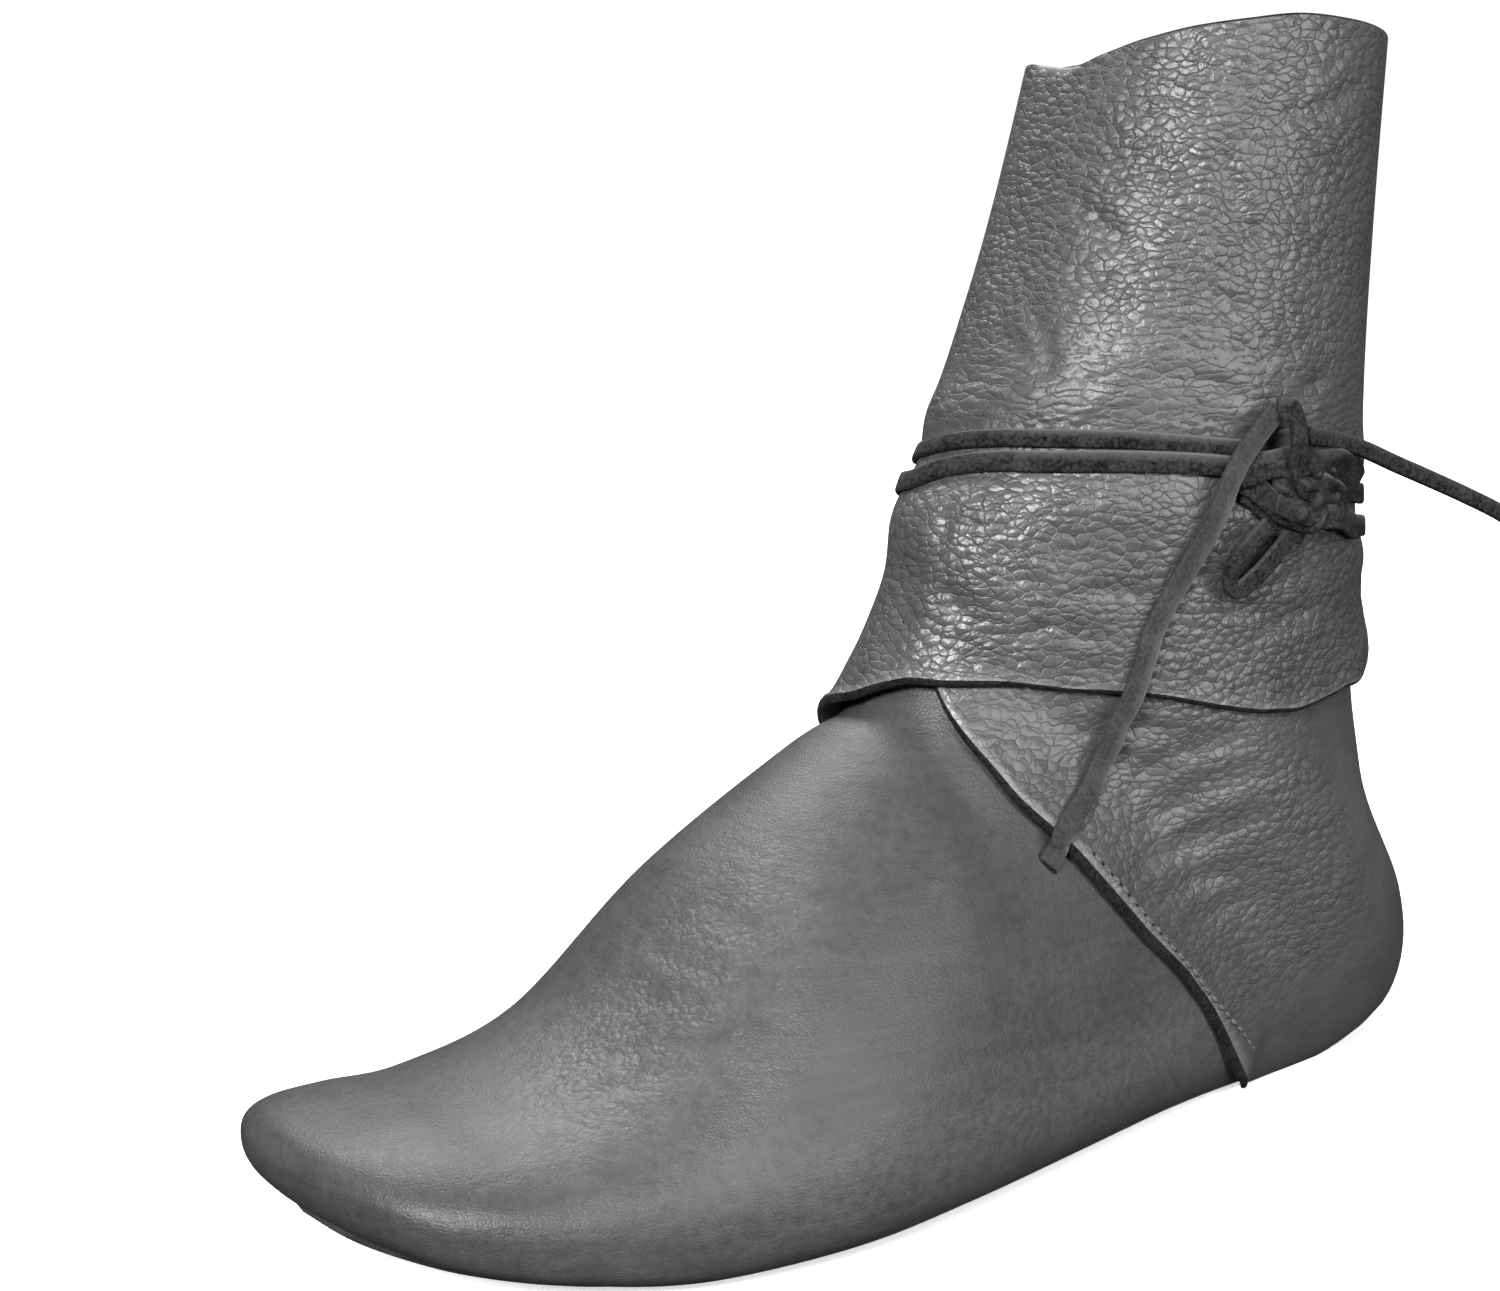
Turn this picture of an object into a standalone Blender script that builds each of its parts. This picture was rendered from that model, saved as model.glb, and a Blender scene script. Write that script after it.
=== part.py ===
"""Renaissance boot, left foot: a soft leather boot wrapped and tied with a thong.

Metres, +Z up.  The toe points to -Y, the heel to +Y and the outer side of the foot to +X.
The sizes below are in millimetres and are turned into metres when the solids are made.
"""
import bmesh
import bpy
import numpy as np
from mathutils import Matrix

MM = 0.001

LEATHER = 2.0            # thickness of the upper leather
GAP = 0.3                # clear space between pieces that meet
SOLE_THICK = 4.0         # thickness of the one-piece sole
SOLE_POINTS = 84         # points round the sole's outline
THONG_WIDE = 5.0         # flat leather thong
THONG_THICK = 2.2
THONG_REST = 0.5         # clear space beneath the windings, which bridge the hollow of the ankle
TURN_STEP = 7.5          # degrees between the lines of points round the vamp, leg and windings
FLAP_END_SLOPE = 14.0    # degrees in which the thong comes down off the end of the flap
TAIL_DIAMETER = 3.6      # the same thong where it is twisted round in the knot and the tails

# Sections of the last, from the toe over the instep and the heel up the leg.  Each lies in a plane
# from its back or sole point to its front or top point; `wide` is the height of the widest place
# along that line, and low_n and up_n say how square the section is below and above it.
LAST_COLUMNS = ("back_y", "back_z", "front_y", "front_z", "inner", "outer", "ridge",
                "wide", "low_n", "up_n")
LAST_ROWS = (
    # tip of the toe, toe box
    (-149.6, 20.5, -149.6, 20.5, -21.5, -21.5, -21.5, 0.50, 2.2, 2.2),
    (-148.0, 16.0, -148.0, 24.2, -34.0, -9.5, -21.5, 0.50, 2.4, 2.2),
    (-144.0, 12.6, -144.0, 27.0, -44.0, 3.5, -20.4, 0.48, 2.8, 2.3),
    (-137.0, 9.4, -137.0, 28.2, -49.4, 17.6, -17.8, 0.45, 3.3, 2.4),
    (-126.0, 5.4, -126.0, 29.3, -51.8, 27.8, -13.0, 0.42, 3.9, 2.4),
    (-109.0, 1.9, -109.0, 31.0, -51.4, 37.6, -8.0, 0.38, 4.0, 2.3),
    # ball, waist and instep
    (-84.0, -0.3, -84.0, 41.8, -48.5, 47.3, -4.0, 0.33, 4.2, 2.2),
    (-54.0, -0.5, -54.0, 69.3, -47.3, 53.0, -5.5, 0.28, 4.2, 2.1),
    (-24.0, -0.5, -21.7, 90.7, -43.2, 50.6, -5.0, 0.24, 4.2, 2.0),
    (16.0, 0.0, -11.4, 96.8, -37.5, 44.2, -3.5, 0.25, 4.2, 2.0),
    # heel, the sections fan round the front of the ankle
    (56.0, 1.4, -6.2, 106.2, -34.6, 38.0, -3.0, 0.30, 4.0, 2.0),
    (95.0, 3.2, -2.6, 115.6, -34.4, 33.8, -2.0, 0.35, 3.6, 2.0),
    (128.4, 8.8, -0.2, 124.8, -34.1, 36.8, 0.0, 0.40, 3.0, 2.0),
    (135.6, 28.0, 1.4, 133.8, -33.5, 37.5, 1.0, 0.45, 2.4, 2.0),
    (120.2, 61.0, 5.5, 143.1, -34.8, 36.5, 0.0, 0.50, 2.1, 2.0),
    # ankle and leg
    (115.4, 104.0, 12.8, 153.0, -35.8, 38.0, 0.5, 0.50, 2.1, 2.1),
    (110.8, 154.0, 23.8, 176.0, -35.8, 38.5, 1.0, 0.50, 2.1, 2.1),
    (110.7, 196.0, 34.5, 203.0, -34.9, 38.0, 1.0, 0.50, 2.1, 2.1),
    (112.9, 247.0, 48.6, 247.0, -34.3, 37.0, 1.0, 0.50, 2.1, 2.1),
)

# The leg leather is one sheet wound once and a half round the leg.  `turn` is in degrees: 180 at the
# front, 90 outer side, 0 back, -90 inner side, -180 front again, -270 outer side again.  `low` and
# `top` are places along the rows of the last, `layer` counts the leathers that lie beneath.
WRAP_COLUMNS = ("turn", "low", "top", "layer")
WRAP_ROWS = (
    # hidden start beneath the flap, then the free edge of the quarter
    (195.0, 13.0, 17.50, 1.12),
    (180.0, 11.6, 17.52, 1.12),
    (158.0, 9.84, 17.60, 1.12),
    (137.0, 9.57, 17.68, 1.12),
    (120.0, 9.80, 17.74, 1.12),
    # outer side seam, heel, inner side seam
    (101.0, 10.03, 17.78, 1.06),
    (87.0, 10.26, 17.78, 1.0),
    (65.0, 10.42, 17.78, 1.0),
    (35.0, 10.48, 17.80, 1.0),
    (0.0, 10.50, 17.84, 1.0),
    (-35.0, 10.48, 17.84, 1.0),
    (-65.0, 10.42, 17.80, 1.0),
    (-87.0, 10.30, 17.74, 1.0),
    (-105.0, 10.05, 17.70, 1.0),
    (-122.0, 9.70, 17.67, 1.0),
    # front edge and lower edge of the flap
    (-140.0, 9.25, 17.66, 1.15),
    (-158.0, 8.76, 17.66, 2.14),
    (-172.0, 8.62, 17.64, 2.14),
    (-182.0, 9.22, 17.63, 2.14),
    (-192.0, 9.70, 17.68, 2.14),
    (-204.0, 10.21, 17.74, 2.14),
    (-220.0, 11.38, 17.80, 2.14),
    (-237.0, 12.48, 17.84, 2.14),
    (-254.0, 13.16, 17.87, 2.14),
    (-273.0, 13.72, 17.86, 2.14),
    (-298.0, 14.33, 17.83, 2.14),
    (-314.0, 14.58, 17.80, 2.14),
    (-322.5, 15.10, 17.78, 2.14),
)
QUARTER_LAYER = WRAP_ROWS[0][3]
FLAP_LAYER = WRAP_ROWS[-1][3]

# Half of a line across the vamp's hidden back edge, from the sole up to the tongue: turn away from the
# sole middle, and the place along the rows of the last.
VAMP_COLUMNS = ("turn", "back")
VAMP_ROWS = (
    (0.0, 10.75),
    (60.0, 10.72),
    (87.0, 10.65),
    (101.0, 10.50),
    (120.0, 10.25),
    (137.0, 10.25),
    (158.0, 10.75),
    (180.0, 11.50),
)

# The sole's outline: place along the foot, inner edge, outer edge.
SOLE_COLUMNS = ("y", "inner", "outer")
SOLE_ROWS = (
    (-141.5, -24.0, -19.0),
    (-138.5, -36.0, -4.0),
    (-131.0, -42.0, 8.0),
    (-119.5, -44.3, 19.0),
    (-104.0, -44.0, 28.5),
    (-84.0, -41.5, 36.0),
    (-54.0, -38.0, 40.0),
    (-24.0, -34.0, 37.5),
    (10.0, -29.5, 32.5),
    (45.0, -27.0, 28.0),
    (80.0, -26.0, 26.0),
    (103.0, -23.5, 24.5),
    (117.0, -16.5, 17.5),
    (123.0, -3.0, 4.0),
)
# The sole's underside leaves the floor at the toe: place along the foot, height.
SPRING_COLUMNS = ("y", "height")
SPRING_ROWS = (
    (-150.0, 11.0),
    (-140.0, 7.6),
    (-126.0, 3.9),
    (-109.0, 1.2),
    (-96.0, 0.0),
    (-80.0, 0.0),
    (130.0, 0.0),
)

# The thong goes twice round the ankle: turn as for the leg leather, height above the floor.
WINDING_COLUMNS = ("turn", "height")
WINDING_ROWS = (
    (75.0, 134.0),
    (45.0, 129.0),
    (0.0, 126.5),
    (-60.0, 129.5),
    (-110.0, 135.0),
    (-154.0, 140.5),
    (-176.0, 144.0),
    (-200.0, 148.0),
    (-233.0, 149.5),
    (-262.0, 147.5),
    (-288.0, 142.0),
    (-315.0, 136.5),
    (-360.0, 133.7),
    (-420.0, 137.3),
    (-470.0, 143.0),
    (-514.0, 149.0),
    (-540.0, 153.0),
    (-560.0, 154.7),
    (-593.0, 155.8),
    (-622.5, 154.0),
)
# The strand from the slit at the head of the side seam up to the knot: turn, height, and its rest
# above the leather (0 on the quarter, 1 on the flap, 2 across the windings).
STRAND_COLUMNS = ("turn", "height", "rest")
STRAND_ROWS = (
    (123.4, 71.8, 0.0),
    (124.2, 79.5, 0.1),
    (126.0, 89.0, 0.75),
    (127.6, 97.5, 1.08),
    (124.0, 110.0, 1.05),
    (116.5, 120.5, 1.05),
    (110.8, 133.5, 1.35),
    (109.0, 141.8, 2.05),
    (106.3, 147.9, 2.05),
    (102.5, 154.8, 2.05),
    (99.3, 160.0, 2.05),
)
# Routes of the knot, its hanging loop and the free end, as places beside the last.
KNOT_ROUTE = ((47.9, 61.8, 157.5), (48.1, 62.6, 152.0), (48.2, 63.0, 147.0), (48.1, 66.2, 142.8),
              (47.7, 72.5, 141.4), (46.9, 78.5, 140.6), (46.3, 81.3, 138.2), (46.9, 78.3, 135.9),
              (47.7, 72.0, 135.9), (47.9, 65.0, 137.6), (47.7, 58.5, 140.2))
LOOP_ROUTE = ((45.6, 61.8, 132.8), (45.0, 58.0, 129.3), (44.3, 53.6, 125.4), (43.5, 49.6, 122.8),
              (43.4, 47.9, 125.3), (44.3, 50.6, 128.8), (45.1, 54.8, 132.6), (45.8, 58.0, 135.2))
TAIL_ROUTE = ((45.8, 67.6, 153.6), (45.5, 76.5, 151.9), (43.6, 88.0, 148.8), (43.8, 98.0, 144.9),
              (45.0, 108.5, 140.7), (46.5, 120.0, 135.9), (48.0, 130.5, 131.0), (49.2, 139.5, 125.0),
              (50.0, 147.0, 117.0), (50.5, 152.5, 107.0), (50.8, 156.0, 95.0), (51.0, 158.0, 82.0),
              (51.0, 158.8, 68.0), (51.0, 159.0, 54.0))

GREYS = {
    "sole": (0.10, 0.095, 0.09),
    "vamp": (0.33, 0.325, 0.315),
    "leg_wrap": (0.30, 0.295, 0.285),
    "thong": (0.12, 0.117, 0.112),
}


def column(rows, columns, name):
    """One named column of a table."""
    return np.array([row[columns.index(name)] for row in rows], float)


def smooth_rows(table, place, first_before=None):
    """Values of a table at places along its rows, on a smooth curve through every row."""
    count = len(table)
    place = np.clip(np.asarray(place, float), 0.0, count - 1.0)
    start = np.minimum(place.astype(int), count - 2)
    part = (place - start)[..., None]
    here, after = table[start], table[start + 1]
    before_first = 2 * table[0] - table[1] if first_before is None else first_before
    after_last = 2 * table[-1] - table[-2]
    padded = np.concatenate([before_first[None], table, after_last[None]])
    before, beyond = padded[start], padded[start + 3]
    return 0.5 * (2 * here + (after - before) * part
                  + (2 * before - 5 * here + 4 * after - beyond) * part ** 2
                  + (3 * here - before - 3 * after + beyond) * part ** 3)


LAST_TABLE = np.array(LAST_ROWS, float)
# Ahead of the tip the sections are mirrored, so the toe ends round and not in a point.
TOE_MIRROR = 2 * LAST_TABLE[0] - LAST_TABLE[1]
for name in ("back_y", "front_y"):
    TOE_MIRROR[LAST_COLUMNS.index(name)] = LAST_TABLE[1][LAST_COLUMNS.index(name)]


def last_point(place, turn):
    """A point of the last: place along the rows, turn in degrees round the section."""
    row = smooth_rows(LAST_TABLE, place, TOE_MIRROR)
    back_y, back_z, front_y, front_z, inner, outer, ridge, wide, low_n, up_n = np.moveaxis(row, -1, 0)
    angle = np.radians(turn)
    across, along = np.sin(angle), -np.cos(angle)
    power = 2.0 / np.where(along >= 0, up_n, low_n)
    across = np.sign(across) * np.abs(across) ** power
    along = np.sign(along) * np.abs(along) ** power
    height = np.where(along >= 0, wide + (1 - wide) * along, wide + wide * along)
    middle, half = (inner + outer) / 2, (outer - inner) / 2
    x = middle + half * across + (ridge - middle) * np.clip(along, 0, 1) ** 1.5
    return np.stack([x, back_y + (front_y - back_y) * height, back_z + (front_z - back_z) * height], -1)


def last_normal(place, turn):
    """The outward direction of the last."""
    place = np.clip(place, 0.04, len(LAST_ROWS) - 1.02)
    along = last_point(place + 0.02, turn) - last_point(place - 0.02, turn)
    around = last_point(place, turn + 2.0) - last_point(place, turn - 2.0)
    normal = np.cross(along, around)
    return normal / np.linalg.norm(normal, axis=-1, keepdims=True)


def skin(place, turn, lift):
    """The last's surface, lifted outward."""
    return last_point(place, turn) + last_normal(place, turn) * np.asarray(lift)[..., None]


def layer_lift(layer):
    """How far the inner face of a leather stands off the last, with `layer` - 1 leathers beneath it."""
    return GAP + (layer - 1.0) * (LEATHER + GAP)


def table_at(rows, columns, turn, name):
    """A column read along the turn, on a smooth curve through the rows."""
    turns = -column(rows, columns, "turn")
    values = column(rows, columns, name)
    place = np.interp(-np.asarray(turn, float), turns, np.arange(len(turns)))
    return smooth_rows(values[:, None], place)[..., 0]


def new_object(name, mesh_work, grey):
    """An object from a bmesh, with its own leather material."""
    bmesh.ops.recalc_face_normals(mesh_work, faces=mesh_work.faces)
    mesh = bpy.data.meshes.new(name)
    mesh_work.to_mesh(mesh)
    mesh_work.free()
    made = bpy.data.objects.new(name, mesh)
    bpy.context.scene.collection.objects.link(made)
    if grey is not None:
        material = bpy.data.materials.new(name + "_leather")
        material.use_nodes = True
        shader = material.node_tree.nodes["Principled BSDF"]
        shader.inputs["Base Color"].default_value = (*grey, 1.0)
        shader.inputs["Roughness"].default_value = 0.6
        material.diffuse_color = (*grey, 1.0)
        mesh.materials.append(material)
    return made


def ring_solid(name, rings, grey):
    """A solid from closed rings of points, one after another, with flat ends."""
    work = bmesh.new()
    loops = [[work.verts.new(point * MM) for point in ring] for ring in rings]
    size = len(loops[0])
    for first, second in zip(loops[:-1], loops[1:]):
        for k in range(size):
            work.faces.new((first[k], first[(k + 1) % size], second[(k + 1) % size], second[k]))
    work.faces.new(loops[0][::-1])
    work.faces.new(loops[-1])
    return new_object(name, work, grey)


def sheet_solid(name, outside, inside, grey):
    """A leather sheet: two grids of points, one for each face, joined round the edge."""
    work = bmesh.new()
    rows, columns = outside.shape[:2]
    faces = []
    for grid in (outside, inside):
        faces.append([[work.verts.new(grid[i, j] * MM) for j in range(columns)] for i in range(rows)])
    for verts in faces:
        for i in range(rows - 1):
            for j in range(columns - 1):
                work.faces.new((verts[i][j], verts[i + 1][j], verts[i + 1][j + 1], verts[i][j + 1]))
    over, under = faces
    edge = [(i, 0) for i in range(rows)] + [(rows - 1, j) for j in range(1, columns)]
    edge += [(i, columns - 1) for i in range(rows - 2, -1, -1)] + [(0, j) for j in range(columns - 2, 0, -1)]
    for (i, j), (m, n) in zip(edge, edge[1:] + edge[:1]):
        work.faces.new((over[i][j], over[m][n], under[m][n], under[i][j]))
    return new_object(name, work, grey)


def bag_solid(name, outside, inside, grey):
    """A bag: two grids of rings that each close in a point at the first row, joined at the last row."""
    work = bmesh.new()
    sides = []
    for grid in (outside, inside):
        tip = work.verts.new(grid[0].mean(axis=0) * MM)
        loops = [[work.verts.new(point * MM) for point in ring] for ring in grid[1:]]
        size = len(loops[0])
        for k in range(size):
            work.faces.new((tip, loops[0][k], loops[0][(k + 1) % size]))
        for first, second in zip(loops[:-1], loops[1:]):
            for k in range(size):
                work.faces.new((first[k], second[k], second[(k + 1) % size], first[(k + 1) % size]))
        sides.append(loops[-1])
    over, under = sides
    for k in range(len(over)):
        m = (k + 1) % len(over)
        work.faces.new((over[k], over[m], under[m], under[k]))
    return new_object(name, work, grey)


def sole_outline(grow, count):
    """The sole's outline in plan, grown outward by `grow`."""
    y, inner, outer = (column(SOLE_ROWS, SOLE_COLUMNS, name) for name in SOLE_COLUMNS)
    loop = np.concatenate([np.column_stack([outer, y]), np.column_stack([inner, y])[::-1]])
    size = len(loop)
    padded = np.concatenate([loop[-3:], loop, loop[:4]])
    fine = smooth_rows(padded, 3 + np.linspace(0, size, 40 * size, endpoint=False))
    run = np.concatenate([[0], np.cumsum(np.linalg.norm(np.diff(fine, axis=0, append=fine[:1]), axis=1))])
    places = np.linspace(0, run[-1], count, endpoint=False)
    closed = np.concatenate([fine, fine[:1]])
    even = np.stack([np.interp(places, run, closed[:, k]) for k in (0, 1)], -1)
    ahead, behind = np.roll(even, -1, axis=0), np.roll(even, 1, axis=0)
    way = (ahead - behind) / np.linalg.norm(ahead - behind, axis=1, keepdims=True)
    return even + grow * np.stack([way[:, 1], -way[:, 0]], -1)


def spring(y):
    """Height of the sole's underside along the foot."""
    heights = column(SPRING_ROWS, SPRING_COLUMNS, "height")
    place = np.interp(y, column(SPRING_ROWS, SPRING_COLUMNS, "y"), np.arange(len(SPRING_ROWS)))
    return np.maximum(smooth_rows(heights[:, None], place)[..., 0], 0.0)


def make_sole():
    """The one-piece leather sole: flat from the ball to the heel, turned up at the toe."""
    rings = []
    for grow, up in ((-1.0, 0.0), (0.0, 0.9), (0.0, SOLE_THICK - 0.5), (-0.5, SOLE_THICK)):
        plan = sole_outline(grow, SOLE_POINTS)
        rings.append(np.column_stack([plan, spring(plan[:, 1]) + up]))
    # ribs of points across the sole carry the turned-up toe
    work = bmesh.new()
    loops = [[work.verts.new(point * MM) for point in ring] for ring in rings]
    for first, second in zip(loops[:-1], loops[1:]):
        for k in range(SOLE_POINTS):
            m = (k + 1) % SOLE_POINTS
            work.faces.new((first[k], first[m], second[m], second[k]))
    for loop in (loops[0], loops[-1]):
        for k in range(SOLE_POINTS // 2 - 1):
            a, b = loop[k], loop[k + 1]
            c, d = loop[SOLE_POINTS - 2 - k], loop[SOLE_POINTS - 1 - k]
            if b is c:
                work.faces.new((a, b, d))
            else:
                work.faces.new((a, b, c, d))
    return new_object("sole", work, GREYS["sole"])


def make_vamp():
    """The front of the upper: toe, instep and the tongue-like end beneath the flap."""
    turns = np.arange(-180.0, 180.0, TURN_STEP)
    back_turn = column(VAMP_ROWS, VAMP_COLUMNS, "turn")
    back_row = column(VAMP_ROWS, VAMP_COLUMNS, "back")
    across = np.interp(np.abs(turns), back_turn, np.arange(len(back_turn)))
    ends = smooth_rows(back_row[:, None], across)[..., 0]
    steps = np.concatenate([np.linspace(0, 0.30, 8), np.linspace(0.30, 0.74, 7)[1:],
                            np.linspace(0.74, 1.0, 10)[1:]])
    place = steps[:, None] * ends[None, :]
    turn = np.broadcast_to(turns, place.shape)
    outside = skin(place, turn, np.zeros(place.shape))
    inside = skin(place, turn, np.full(place.shape, -LEATHER))
    return bag_solid("vamp", outside, inside, GREYS["vamp"])


def wrap_grid(turns, steps):
    """Places and turns over the leg sheet, and the lift of its inner face."""
    low = table_at(WRAP_ROWS, WRAP_COLUMNS, turns, "low")
    top = table_at(WRAP_ROWS, WRAP_COLUMNS, turns, "top")
    layer = table_at(WRAP_ROWS, WRAP_COLUMNS, turns, "layer")
    place = low[:, None] + (top - low)[:, None] * steps[None, :]
    turn = np.broadcast_to(turns[:, None], place.shape)
    lift = np.broadcast_to(layer_lift(layer)[:, None], place.shape)
    return place, turn, lift


def make_leg_wrap():
    """Quarter, shaft and flap: one sheet wound round the leg with its end over the outer side."""
    first, last = WRAP_ROWS[0][0], WRAP_ROWS[-1][0]
    turns = np.arange(first, last - 1.0, -TURN_STEP)
    steps = np.linspace(0, 1, 18) ** 1.3
    place, turn, lift = wrap_grid(turns, steps)
    outside = skin(place, turn, lift + LEATHER)
    inside = skin(place, turn, lift)
    return sheet_solid("leg_wrap", outside, inside, GREYS["leg_wrap"])


def cut_underside(upper, cutter):
    """Open the upper underneath, where the sole closes it."""
    step = upper.modifiers.new("sole opening", "BOOLEAN")
    step.operation = "DIFFERENCE"
    step.solver = "EXACT"
    step.object = cutter


def make_sole_cutter():
    """A block with the sole's outline and its clear space."""
    plan = sole_outline(GAP, SOLE_POINTS)
    low = np.column_stack([plan, np.full(len(plan), -12.0)])
    high = np.column_stack([plan, np.full(len(plan), 15.0)])
    cutter = ring_solid("sole_cutter", (low, high), None)
    cutter.hide_render = True
    cutter.display_type = "WIRE"
    return cutter


def leg_place(turn, height):
    """Place along the rows of the last at a turn and a height on the leg."""
    places = np.linspace(9.0, len(LAST_ROWS) - 1.0, 400)
    return np.array([np.interp(h, last_point(places, np.full(400, t))[:, 2], places)
                     for t, h in zip(turn, height)])


def outer_face(turn):
    """Lift of the boot's outermost leather face on the leg at any turn."""
    first, last = WRAP_ROWS[0][0], WRAP_ROWS[-1][0]
    once = (np.asarray(turn, float) - first) % 360.0 + first - 360.0
    beneath = table_at(WRAP_ROWS, WRAP_COLUMNS, once, "layer")
    flap = 1.0 + (FLAP_LAYER - 1.0) * np.clip((once - (last + 360.0)) / FLAP_END_SLOPE + 1.0, 0, 1)
    return layer_lift(np.maximum(beneath, flap)) + LEATHER


def strip_solid(name, path, normals, grey):
    """A flat thong with rounded edges along a path, lying on a surface with these normals."""
    way = np.gradient(path, axis=0)
    way /= np.linalg.norm(way, axis=1, keepdims=True)
    side = np.cross(way, normals)
    side /= np.linalg.norm(side, axis=1, keepdims=True)
    up = np.cross(side, way)
    half, edge, thick = THONG_WIDE / 2, 0.5, THONG_THICK
    profile = ((-half + edge, 0), (half - edge, 0), (half, thick / 2), (half - edge, thick),
               (-half + edge, thick), (-half, thick / 2))
    rings = [[p + s * a + u * b for a, b in profile] for p, s, u in zip(path, side, up)]
    return ring_solid(name, rings, grey)


def make_windings():
    """The thong wound twice round the ankle."""
    turns = np.arange(WINDING_ROWS[0][0], WINDING_ROWS[-1][0] - 1.0, -TURN_STEP)
    height = table_at(WINDING_ROWS, WINDING_COLUMNS, turns, "height")
    place = leg_place(turns, height)
    normals = last_normal(place, turns)
    path = last_point(place, turns) + normals * (outer_face(turns) + THONG_REST)[:, None]
    return strip_solid("thong_windings", path, normals, GREYS["thong"])


def make_strand():
    """The thong from its slit at the side seam up to the knot."""
    places = np.linspace(0, len(STRAND_ROWS) - 1, 30)
    turn, height, rest = (smooth_rows(column(STRAND_ROWS, STRAND_COLUMNS, name)[:, None], places)[:, 0]
                          for name in STRAND_COLUMNS)
    place = leg_place(turn, height)
    normals = last_normal(place, turn)
    flap = layer_lift(FLAP_LAYER) + LEATHER
    levels = (layer_lift(QUARTER_LAYER) + LEATHER, flap, flap + THONG_REST + THONG_THICK)
    lift = np.interp(rest, (0, 1, 2), levels) + GAP
    path = last_point(place, turn) + normals * lift[:, None]
    return strip_solid("thong_strand", path, normals, GREYS["thong"])


def make_cord(name, route):
    """A round cord on a smooth curve through a few route points."""
    route = np.array(route, float)
    fine = smooth_rows(route, np.linspace(0, len(route) - 1, 400))
    run = np.concatenate([[0], np.cumsum(np.linalg.norm(np.diff(fine, axis=0), axis=1))])
    count = max(8, int(round(run[-1] / (2.2 * TAIL_DIAMETER))) + 1)
    places = np.linspace(0, run[-1], count)
    points = np.stack([np.interp(places, run, fine[:, k]) for k in range(3)], -1)
    curve = bpy.data.curves.new(name, "CURVE")
    curve.dimensions = "3D"
    curve.bevel_depth = TAIL_DIAMETER / 2 * MM
    curve.bevel_resolution = 2
    curve.use_fill_caps = True
    spline = curve.splines.new("POLY")
    spline.points.add(count - 1)
    for point, place in zip(spline.points, points):
        point.co = (*(place * MM), 1.0)
    made = bpy.data.objects.new(name, curve)
    bpy.context.scene.collection.objects.link(made)
    material = bpy.data.materials.new(name + "_leather")
    material.use_nodes = True
    material.node_tree.nodes["Principled BSDF"].inputs["Base Color"].default_value = (*GREYS["thong"], 1.0)
    material.diffuse_color = (*GREYS["thong"], 1.0)
    curve.materials.append(material)
    return made


def stand_on_origin(pieces, cords):
    """Move everything so that the boot without its loose cords stands on the origin."""
    corners = [vert.co for piece in pieces for vert in piece.data.vertices]
    low = [min(corner[k] for corner in corners) for k in range(3)]
    high = [max(corner[k] for corner in corners) for k in range(3)]
    move = Matrix.Translation((-(low[0] + high[0]) / 2, -(low[1] + high[1]) / 2, 0.0))
    for piece in pieces + cords:
        piece.data.transform(move)


for old in list(bpy.data.objects):
    bpy.data.objects.remove(old, do_unlink=True)

sole = make_sole()
vamp = make_vamp()
leg_wrap = make_leg_wrap()
windings = make_windings()
strand = make_strand()
knot = make_cord("thong_knot", KNOT_ROUTE)
loop = make_cord("thong_loop", LOOP_ROUTE)
tail = make_cord("thong_end", TAIL_ROUTE)
sole_cutter = make_sole_cutter()
stand_on_origin([sole, vamp, leg_wrap, windings, strand], [knot, loop, tail, sole_cutter])
cut_underside(vamp, sole_cutter)
cut_underside(leg_wrap, sole_cutter)
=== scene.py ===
"""Looks of the renaissance boot, left foot: pebbled and smooth leather, raw cut edges, sewn side seams
and a suede thong.

The tables are in millimetres on the last, as in the part's source; everything made is in metres.
The toe points to -Y, the heel to +Y and the outer side of the foot to +X.
"""

import bmesh
import bpy
import numpy as np
from mathutils import Matrix


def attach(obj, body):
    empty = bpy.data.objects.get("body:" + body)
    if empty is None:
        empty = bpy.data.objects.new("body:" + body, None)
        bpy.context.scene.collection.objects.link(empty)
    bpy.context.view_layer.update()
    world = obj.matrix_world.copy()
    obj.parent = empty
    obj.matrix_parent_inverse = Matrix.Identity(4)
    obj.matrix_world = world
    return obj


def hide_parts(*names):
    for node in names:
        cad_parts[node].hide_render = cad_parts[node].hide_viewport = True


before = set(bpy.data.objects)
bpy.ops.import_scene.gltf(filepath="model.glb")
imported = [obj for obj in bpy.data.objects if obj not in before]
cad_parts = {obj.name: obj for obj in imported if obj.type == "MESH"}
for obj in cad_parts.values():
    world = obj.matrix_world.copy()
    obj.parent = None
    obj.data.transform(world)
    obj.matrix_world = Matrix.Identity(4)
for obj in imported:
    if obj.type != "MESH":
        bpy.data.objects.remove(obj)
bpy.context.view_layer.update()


def table(names, *rows):
    """A table of rows as its named columns."""
    return dict(zip(names.split(), np.array(rows, float).T))


MM = 0.001
ORIGIN = np.array((-0.6656, 5.6394, 0.0))   # from the last's own frame to the boot's middle

LEATHER = 2.0            # thickness of the upper leather
GAP = 0.3                # clear space between pieces that meet
SOLE_THICK = 4.0
THONG_WIDE = 5.0         # flat leather thong
THONG_THICK = 2.2
FLAP_END_SLOPE = 14.0    # degrees in which the thong comes down off the end of the flap
FLOOR_CLEAR = 0.3        # height of the upper's lower edge where its leather has settled on the floor
SETTLE_REACH = 24.0      # height above that edge over which the leather gives way
SOLE_CLEAR = GAP + 0.2   # between the sole's outline and the upper round it
LEG_CREASE_GAIN = 1.6    # the depths of the hand-set creases are multiplied by these
VAMP_CREASE_GAIN = 1.4

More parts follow.
